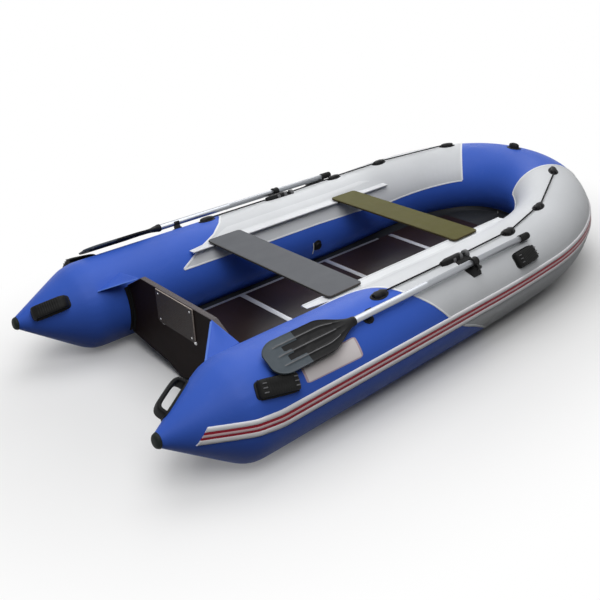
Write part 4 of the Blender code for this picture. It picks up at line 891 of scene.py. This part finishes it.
def handle_bar(size):
    """Rings of a thick bar bent to a flat D, grooved where it is gripped."""
    length, width, gap, bar = size
    turns = np.linspace(0, math.pi, 600)
    along = -(length - bar) / 2 * np.sign(np.cos(turns)) * np.abs(np.cos(turns)) ** 0.42
    rise = (gap + bar / 2) * np.sin(turns) ** 0.42
    run = np.concatenate([[0], np.cumsum(np.hypot(np.diff(along), np.diff(rise)))])
    places = np.linspace(0, run[-1], 111)
    along, rise = smoothed(np.interp(places, run, along)), smoothed(np.interp(places, run, rise))
    rings = []
    for index, (x, z) in enumerate(zip(along, rise)):
        before, after = max(0, index - 1), min(len(along) - 1, index + 1)
        slope = Vector((along[after] - along[before], 0, rise[after] - rise[before])).normalized()
        lift = Vector((-slope.z, 0, slope.x))
        grip = math.exp(-(x / (length * 0.36)) ** 6)
        waves = 0.0006 * (1 + math.cos(2 * math.pi * x / 0.010))
        ring = []
        for u, v in superellipse(width * 0.84, bar, 3.4, 48):
            groove = grip * (0.0024 * math.exp(-(u / 0.0042) ** 2) + waves) if v > 0 else 0.0
            ring.append(Vector((x, u, z)) + lift * (v - groove))
        rings.append(ring)
    return rings


def make_handle(side, label, name, node_stem, station, angle, size, turn, ridged):
    """Moulded grab handle: a long base pad and a thick bar."""
    length, width, gap, bar = size
    matrix = seat(station, angle, side, 0.0004) @ Matrix.Rotation(side * math.radians(turn), 4, "Z")
    build = Build()
    build.loft(handle_bar(size), transform=matrix)
    build.loft([[(u * grow, v * grow, height - v * v / (2 * RADIUS))
                 for u, v in superellipse(length + 0.012, width, 5, 56)] for height, grow in PAD_STEPS],
               transform=matrix)
    for end in (-1, 1):
        for across in (-0.46, 0.46):
            where = matrix @ Matrix.Translation((end * length * 0.44, across * width * 0.98, 0.004))
            build.turn([(0.0026, 0.0), (0.0026, 0.0008), (0.0016, 0.0013), (0.0003, 0.0013)], 14, where)
    # Short ridges at both ends of the bar, in the grey that paints their highlights.
    for across in (-0.22, 0.0, 0.22) if ridged else ():
        for low, high in ((-0.43, -0.33), (0.33, 0.43)):
            build.box((low * length, across * width - 0.0022, gap + bar - 0.006),
                      (high * length, across * width + 0.0022, gap + bar + 0.0004), 0.0008, 1, matrix)
    build.done(name + label, [RUBBER, PAINTED_HIGHLIGHT], node=node_stem + label, slot="moulded_rubber", smooth=50)


def make_handles():
    for side, label in SIDES:
        for handle in HANDLES:
            make_handle(side, label, *handle)


RAIL_SECTION = ((0.4090, 0.3751), (0.4250, 0.3751), (0.4450, 0.3753), (0.4560, 0.3762),
                (0.4632, 0.3787), (0.4680, 0.3834))
RAIL_ANGLES, RAIL_LIFTS = (57.5, 60.0, 62.5, 65.0, 67.5), (0.0030, 0.0027, 0.0022, 0.0016, 0.0004)
RAIL_LEVEL_END, RAIL_THICKNESS, RAIL_ROWS, RAIL_POINTS = 2.092, 0.0020, 160, 30
RAIL_STATIONS = (0.835, 0.93, 1.02, 1.12, 2.06, 2.15, 2.22)
RAIL_SHARES = (0.26, 0.40, 0.62, 1.0, 1.0, 0.62, 0.26)
BEAD_ACROSS, BEAD_HEIGHT, BEAD_RADIUS = 0.405, 0.3741, 0.0046


def rail_row(station, side):
    """Points across the fabric rail, from its bead edge up onto the tube."""
    rise = max(0.0, float(centre(station)[2] - centre(RAIL_LEVEL_END)[2]))
    width = RAIL_SECTION[-1][0] - BEAD_ACROSS
    points = [(y, z + rise * (y - BEAD_ACROSS) / width) for y, z in RAIL_SECTION]
    points += [tube(station, angle, lift)[1:] for angle, lift in zip(RAIL_ANGLES, RAIL_LIFTS)]
    points = np.array(points)
    run = np.concatenate([[0], np.cumsum(np.hypot(*np.diff(points, axis=0).T))])
    shares = np.linspace(0, 1, RAIL_POINTS) * run[-1] * np.interp(station, RAIL_STATIONS, RAIL_SHARES)
    across, height = np.interp(shares, run, points[:, 0]), np.interp(shares, run, points[:, 1])
    return np.stack([np.full(RAIL_POINTS, station - LENGTH / 2), side * across, height], -1)


def make_rails():
    """Fabric rails that the seats slide on, each with a round bead."""
    for side, label in SIDES:
        stations = np.linspace(RAIL_STATIONS[0], RAIL_STATIONS[-1], RAIL_ROWS)
        rows = np.array([rail_row(station, side) for station in stations])
        build = Build()
        build.shell(rows, rows - (0, 0, RAIL_THICKNESS))
        ends = stations[[0, -1]] - LENGTH / 2
        ring = [(side * BEAD_ACROSS + BEAD_RADIUS * math.cos(t), BEAD_HEIGHT + BEAD_RADIUS * math.sin(t))
                for t in circle(20)]
        build.loft([[(along, *point) for point in ring] for along in np.linspace(*ends, 40)])
        build.done("fabric_rail_" + label, [PALE], node="seat_rail_" + label, slot="tube_grey", smooth=60)


def make_plate():
    """Bare pale plate with a plain rim, where the starboard side has one."""
    u, v = np.meshgrid(np.linspace(0, 1, 30), np.linspace(0, 1, 18), indexing="ij")
    on_rim = (u == 0) | (u == 1) | (v == 0) | (v == 1)
    pinch_u = 0.5 + (u - 0.5) * (1 - 0.035 * np.maximum(0, (abs(v - 0.5) - 0.42) / 0.08) ** 2)
    pinch_v = 0.5 + (v - 0.5) * (1 - 0.09 * np.maximum(0, (abs(u - 0.5) - 0.45) / 0.05) ** 2)
    low, high = 134.5 - 3.0 * pinch_u, 153.0 + 2.5 * pinch_u
    points = tube(on_side(0.537 + 0.287 * pinch_u, -1), low + (high - low) * pinch_v,
                  np.where(on_rim, 0.0, 0.0007))
    faces = grid_faces(*u.shape)
    index = [int(on_rim.ravel()[list(face)].any()) for face in faces]
    obj = piece("side_plate", points.reshape(-1, 3), faces, mats=[PLATE, PLATE_EDGE], indices=index,
                smooth=180)
    fix_normals(obj)


# Oars

ROWLOCK_STATION, OAR_ANGLE, OAR_PLANE = 1.60, 120, 0.0340
BLADE_MOUTH, BLADE_LENGTH, BLADE_HALF, NECK_RADIUS = -0.760, 0.430, 0.074, 0.0185
BLADE_RIDGES, WINDOW_MIDDLES, WINDOW_SPANS = (-0.56, 0.0, 0.56), (-0.28, 0.28), ((0.24, 0.52), (0.58, 0.80))


def oar_matrix(side):
    return seat(ROWLOCK_STATION, OAR_ANGLE, side, OAR_PLANE)


def blade_outline(share):
    """Half width along the blade, neck to tip."""
    shoulder = ease_in_out(min(1.0, share / 0.40))
    tip = math.sqrt(max(0.0, 1 - max(0.0, (share - 0.84) / 0.165) ** 2))
    return NECK_RADIUS + (BLADE_HALF - NECK_RADIUS) * shoulder * tip


def blade_height(share, across, half):
    """Half thickness of the ribbed plate at a place, and how far it is in a window."""
    edge = min(1.0, (1 - abs(across)) / 0.10)
    plate = 0.0016 + 0.0012 * math.sqrt(max(0.0, edge))
    fade = min(1.0, max(0.0, (share - 0.10) / 0.1)) * min(1.0, max(0.0, (0.90 - share) / 0.06))
    ribs = sum(math.exp(-((across - place) * half / 0.0042) ** 2) for place in BLADE_RIDGES)
    rim = math.exp(-((1 - abs(across)) * half / 0.0045) ** 2) * 0.0022
    window = 0.0
    for low, high in WINDOW_SPANS:
        if low < share < high:
            ends = min(1.0, min(share - low, high - share) / 0.015)
            for place in WINDOW_MIDDLES:
                window = max(window, ends * min(1.0, max(0.0, (0.17 - abs(across - place)) / 0.03)))
    body = (plate + rim) * (1 - 0.72 * window) + 0.0042 * ribs * fade
    neck = NECK_RADIUS * math.sqrt(max(0.0, 1 - across * across))
    return neck + (body - neck) * ease_in_out(min(1.0, share / 0.26)), window


def blade_colour(share, across, window):
    """Material of a face: 0 black, 1 grey plate, 2 ridge top with a painted highlight."""
    half = blade_outline(share)
    if 0.22 < share < 0.88 and min(abs(across - place) * half for place in BLADE_RIDGES[1:]) < 0.0017:
        return 2
    return int(share > 0.62 + 0.10 * (across < 0.4) and window < 0.5)


def make_blade(matrix, label):
    """Oar blade with three ridges, highlights painted on their tops, sunk windows and a paler plate."""
    lengths, widths = 110, 96
    top, colours = [], []
    for i in range(lengths + 1):
        share = i / lengths
        half = blade_outline(share)
        for j in range(widths + 1):
            across = math.sin(math.pi * (j / widths - 0.5))
            height, window = blade_height(share, across, half)
            top.append((BLADE_MOUTH - BLADE_LENGTH * share, across * half, height if 0 < j < widths else 0.0))
            if i < lengths and j < widths:
                middle = abs(math.sin(math.pi * ((j + 0.5) / widths - 0.5)))
                colours.append(blade_colour(share, middle, window))
    top = np.array(top)
    bottom = top * (1, 1, -1)
    build, faces = Build(), grid_faces(lengths + 1, widths + 1)
    build.add(top, faces, transform=matrix)
    build.add(bottom, flipped(faces), transform=matrix)
    build.index = 2 * colours
    end = np.concatenate([top[-widths - 1:], bottom[:-widths - 2:-1]])
    build.add(end, [range(len(end))], 1, matrix)
    build.bar([(0.0152, BLADE_MOUTH + 0.0006), (0.0186, BLADE_MOUTH + 0.0006), (0.0196, BLADE_MOUTH - 0.004),
               (0.0196, BLADE_MOUTH - 0.012), (0.0187, BLADE_MOUTH - 0.016)], 36, matrix, caps=False)
    build.done("paddle_blade_" + label, [BLACK, BLADE_GREY, PAINTED_HIGHLIGHT], body=label + "_oar",
               node="oar_blade_" + label, slot="moulded_black", smooth=45)


def make_oars():
    for side, label in SIDES:
        matrix = oar_matrix(side)
        build = Build()
        build.bar([(0.0146, -0.795), (0.0150, -0.7945), (0.0150, -0.33), (0.0152, -0.3295), (0.0152, -0.323),
                   (0.0150, -0.3225), (0.0150, 0.4215), (0.0146, 0.422)], 48, matrix)
        build.bar([(0.0042, 0.0140), (0.0042, 0.0158), (0.0030, 0.0172), (0.0004, 0.0176)], 20,
                  matrix @ Matrix.Translation((-0.345, 0, 0)) @ Matrix.Rotation(math.pi / 2, 4, "Y"), 1)
        build.done("oar_tube_" + label, [ALU_LONG, STEEL], body=label + "_oar", node="oar_shaft_" + label,
                   slot="shaft")
        build = Build()
        profile = [(0.0004, 0.430), (0.0120, 0.4296), (0.0165, 0.4270), (0.0178, 0.4225), (0.0178, 0.4190)]
        for start in 0.4160 - 0.0063 * np.arange(9):
            profile += [(0.0170, start), (0.0170, start - 0.0022), (0.0181, start - 0.0032),
                        (0.0181, start - 0.0052)]
        profile += [(0.0176, 0.3580), (0.0160, 0.3560), (0.0152, 0.3556)]
        build.bar(profile, 40, matrix)
        build.done("oar_handgrip_" + label, [RUBBER], body=label + "_oar", node="oar_grip_" + label,
                   slot="moulded_black", smooth=50)
        make_blade(matrix, label)


def make_rowlock_trim():
    """Screws and raised bands of the rowlocks, the bands in a painted highlight grey, and the patches under
    the shaft clips.
    """
    for side, label in SIDES:
        matrix = seat(ROWLOCK_STATION, 110, side, 0.0032)
        screws, bands, patch, rings = Build(), Build(), Build(), Build()
        for along in (-0.040, 0.040):
            screws.turn([(0.0048, -0.0005), (0.0048, 0.0006), (0.0040, 0.0010), (0.0034, 0.0024),
                         (0.0004, 0.0026)], 20, matrix @ Matrix.Translation((along, side * 0.010, 0)))
        screws.done("rowlock_screws_" + label, [STEEL], slot="profile")
        matrix = seat(ROWLOCK_STATION, 100, side)
        # Raised bands, coloured grey as painted highlights.
        for middle in (-0.048, 0.0, 0.048):
            bands.loft([[(middle + along, 0.0200 * grow * math.cos(t), 0.0232 * grow * math.sin(t) ** 0.8)
                         for t in np.linspace(0, math.pi, 25)]
                        for along, grow in ((-0.0095, 0.94), (-0.0080, 1.0), (0.0080, 1.0), (0.0095, 0.94))],
                       transform=matrix)
        bands.done("rowlock_bands_" + label, [PAINTED_HIGHLIGHT], slot="moulded_black", smooth=50)
        patch.loft([[(0.027 * grow * math.cos(t), 0.025 * grow * math.sin(t),
                      height - (0.025 * grow * math.sin(t)) ** 2 / (2 * RADIUS)) for t in circle(48)]
                    for height, grow in ((-0.0014, 1.0), (0.0016, 1.0), (0.0030, 0.94), (0.0036, 0.84))],
                   transform=seat(0.932, 121, side))
        patch.done("clip_patch_" + label, [BLACK], slot="moulded_black", smooth=50)
        for along in (-0.0135, 0.0135):
            rings.bar([(0.0204, along - 0.0022), (0.0216, along - 0.0018), (0.0216, along + 0.0018),
                       (0.0204, along + 0.0022)], 40, oar_matrix(side), caps=False)
        rings.done("rowlock_ring_bands_" + label, [BLACK], body=label + "_oar", slot="moulded_black")


def dress_nodes():
    """Materials for the CAD nodes that stay."""
    boards = ["floor_board_" + place for place in ("aft", "middle", "fore", "bow")]
    joints = ["floor_joint_" + place for place in ("aft", "middle", "fore")]
    runners = both("rear_seat_runner") + both("front_seat_runner")
    rowlocks = both("rowlock_base") + both("rowlock_swivel") + both("rowlock_knob") + both("oar_clip")
    for names, material in (
            (both("transom_holder"), RUBBER), (["transom_board"], TRANSOM), (["motor_plate"], MOTOR_PAD),
            (boards, FLOOR), (joints, ALU_CROSS), (both("floor_stringer"), ALU_STRINGER),
            (["rear_seat_board"], SEAT_GREY), (["front_seat_board"], SEAT_OLIVE), (runners + rowlocks, BLACK),
            (["bow_bulkhead"], BLUE), (["inflatable_keel"], GREY)):
        for name in names:
            nodes[name].data.materials.clear()
            nodes[name].data.materials.append(material)


# Studio. The owner of a node is a material or the world.

def seen_directly(owner):
    """1 on rays from the camera, a mirror or glass, else 0."""
    rays = node(owner, "ShaderNodeLightPath").outputs
    either = maths(owner, "MAXIMUM", rays["Is Camera Ray"], rays["Is Glossy Ray"])
    return maths(owner, "MAXIMUM", either, rays["Is Transmission Ray"])


def blend_shaders(owner, share, first, second):
    made = node(owner, "ShaderNodeMixShader")
    feed(owner, made, ((0, share), (1, first), (2, second)))
    return made.outputs[0]


def studio_floor():
    """Pale floor that keeps the shadow near the object and is white further out."""
    material = new_material("studio_floor", (0.86, 0.86, 0.86), 0.9)
    tone = ramp(material, noise(material, 0.8), [(0.3, (0.85,) * 3), (0.7, (0.87,) * 3)])
    link(material, tone, "Base Color")
    away = node(material, "ShaderNodeVectorMath", {"operation": "LENGTH"})
    feed(material, away, [(0, position(material, (1 / 1.9, 1 / 1.25, 1)))])
    reach = {"interpolation_type": "SMOOTHSTEP", "From Min": 0.60, "From Max": 1.4}
    fade = node(material, "ShaderNodeMapRange", reach, Value=away.outputs["Value"]).outputs["Result"]
    pale = material.node_tree.nodes["Principled BSDF"].outputs[0]
    white = node(material, "ShaderNodeEmission", {"Strength": 1.0}).outputs[0]
    bounce = node(material, "ShaderNodeBsdfDiffuse", {"Color": (0.035, 0.035, 0.036, 1)}).outputs[0]
    shown = blend_shaders(material, fade, pale, white)
    surface = blend_shaders(material, seen_directly(material), bounce, shown)
    feed(material, material.node_tree.nodes["Material Output"], [("Surface", surface)])
    return material


def make_studio():
    """Pale floor, white backdrop and soft lights."""
    mesh = bpy.data.meshes.new("studio_floor")
    reach, level = 40, -0.0030
    mesh.from_pydata([(-reach, -reach, level), (reach, -reach, level), (reach, reach, level),
                      (-reach, reach, level)], [], [(0, 1, 2, 3)])
    mesh.materials.append(studio_floor())
    add_object("studio_floor", mesh)
    world = bpy.data.worlds.new("studio_world")
    bpy.context.scene.world = world
    world.use_nodes = True
    world.node_tree.nodes.clear()
    fill = node(world, "ShaderNodeBackground", {"Color": (0.92, 0.96, 1.0, 1), "Strength": 0.035}).outputs[0]
    white = node(world, "ShaderNodeBackground", {"Color": (1, 1, 1, 1), "Strength": 1.0}).outputs[0]
    node(world, "ShaderNodeOutputWorld", Surface=blend_shaders(world, seen_directly(world), fill, white))
    for name, place, height, size, power in (
            ("key", (-2.0, -2.6, 4.4), 0.2, 3.0, 130), ("top", (0.0, 0.6, 4.8), 0.2, 4.0, 138),
            ("rim", (3.0, 3.2, 2.8), 0.3, 2.5, 55), ("fill", (-4.8, -2.2, 1.8), 0.3, 2.5, 2)):
        data = bpy.data.lights.new("studio_" + name, "AREA")
        data.energy, data.size = power, size
        lamp = add_object("studio_" + name, data)
        lamp.location = place
        lamp.rotation_euler = (Vector((0, 0, height)) - Vector(place)).to_track_quat("-Z", "Y").to_euler()


FOCAL_PIXELS, PICTURE_PIXELS, SENSOR = 773.6, 600, 36.0
CAMERA_TARGET, CAMERA_DISTANCE = (-0.075, 0, 0.4411), math.exp(1.3637)


def make_camera():
    """The photograph's viewpoint: behind the starboard quarter, above."""
    azimuth, elevation, roll = math.radians(-43.6378), math.radians(21.7113), math.radians(-1.3024)
    back = Vector((math.sin(azimuth) * math.cos(elevation), -math.cos(azimuth) * math.cos(elevation),
                   math.sin(elevation)))
    right = Vector((math.cos(azimuth), math.sin(azimuth), 0))
    up = back.cross(right)
    turned_right = math.cos(roll) * right + math.sin(roll) * up
    turned_up = -math.sin(roll) * right + math.cos(roll) * up
    data = bpy.data.cameras.new("photo_camera")
    data.sensor_width, data.lens = SENSOR, FOCAL_PIXELS * SENSOR / PICTURE_PIXELS
    data.shift_x, data.shift_y = -0.0804, -0.1270
    data.clip_start, data.clip_end = 0.05, 100
    camera = add_object("photo_camera", data)
    basis = Matrix((turned_right, turned_up, back)).transposed().to_4x4()
    camera.matrix_world = Matrix.Translation(Vector(CAMERA_TARGET) + back * CAMERA_DISTANCE) @ basis
    bpy.context.scene.camera = camera
    bpy.context.scene.view_settings.view_transform = "Standard"


make_camera()
make_studio()
dress_nodes()
make_tube_skin()
make_grey_panels()
make_seam_tapes()
make_strake()
make_bottom()
make_gussets()
make_transom_fittings()
make_cone_caps()
make_crowns()
make_lifelines()
make_valves()
make_handles()
make_rails()
make_plate()
make_oars()
make_rowlock_trim()
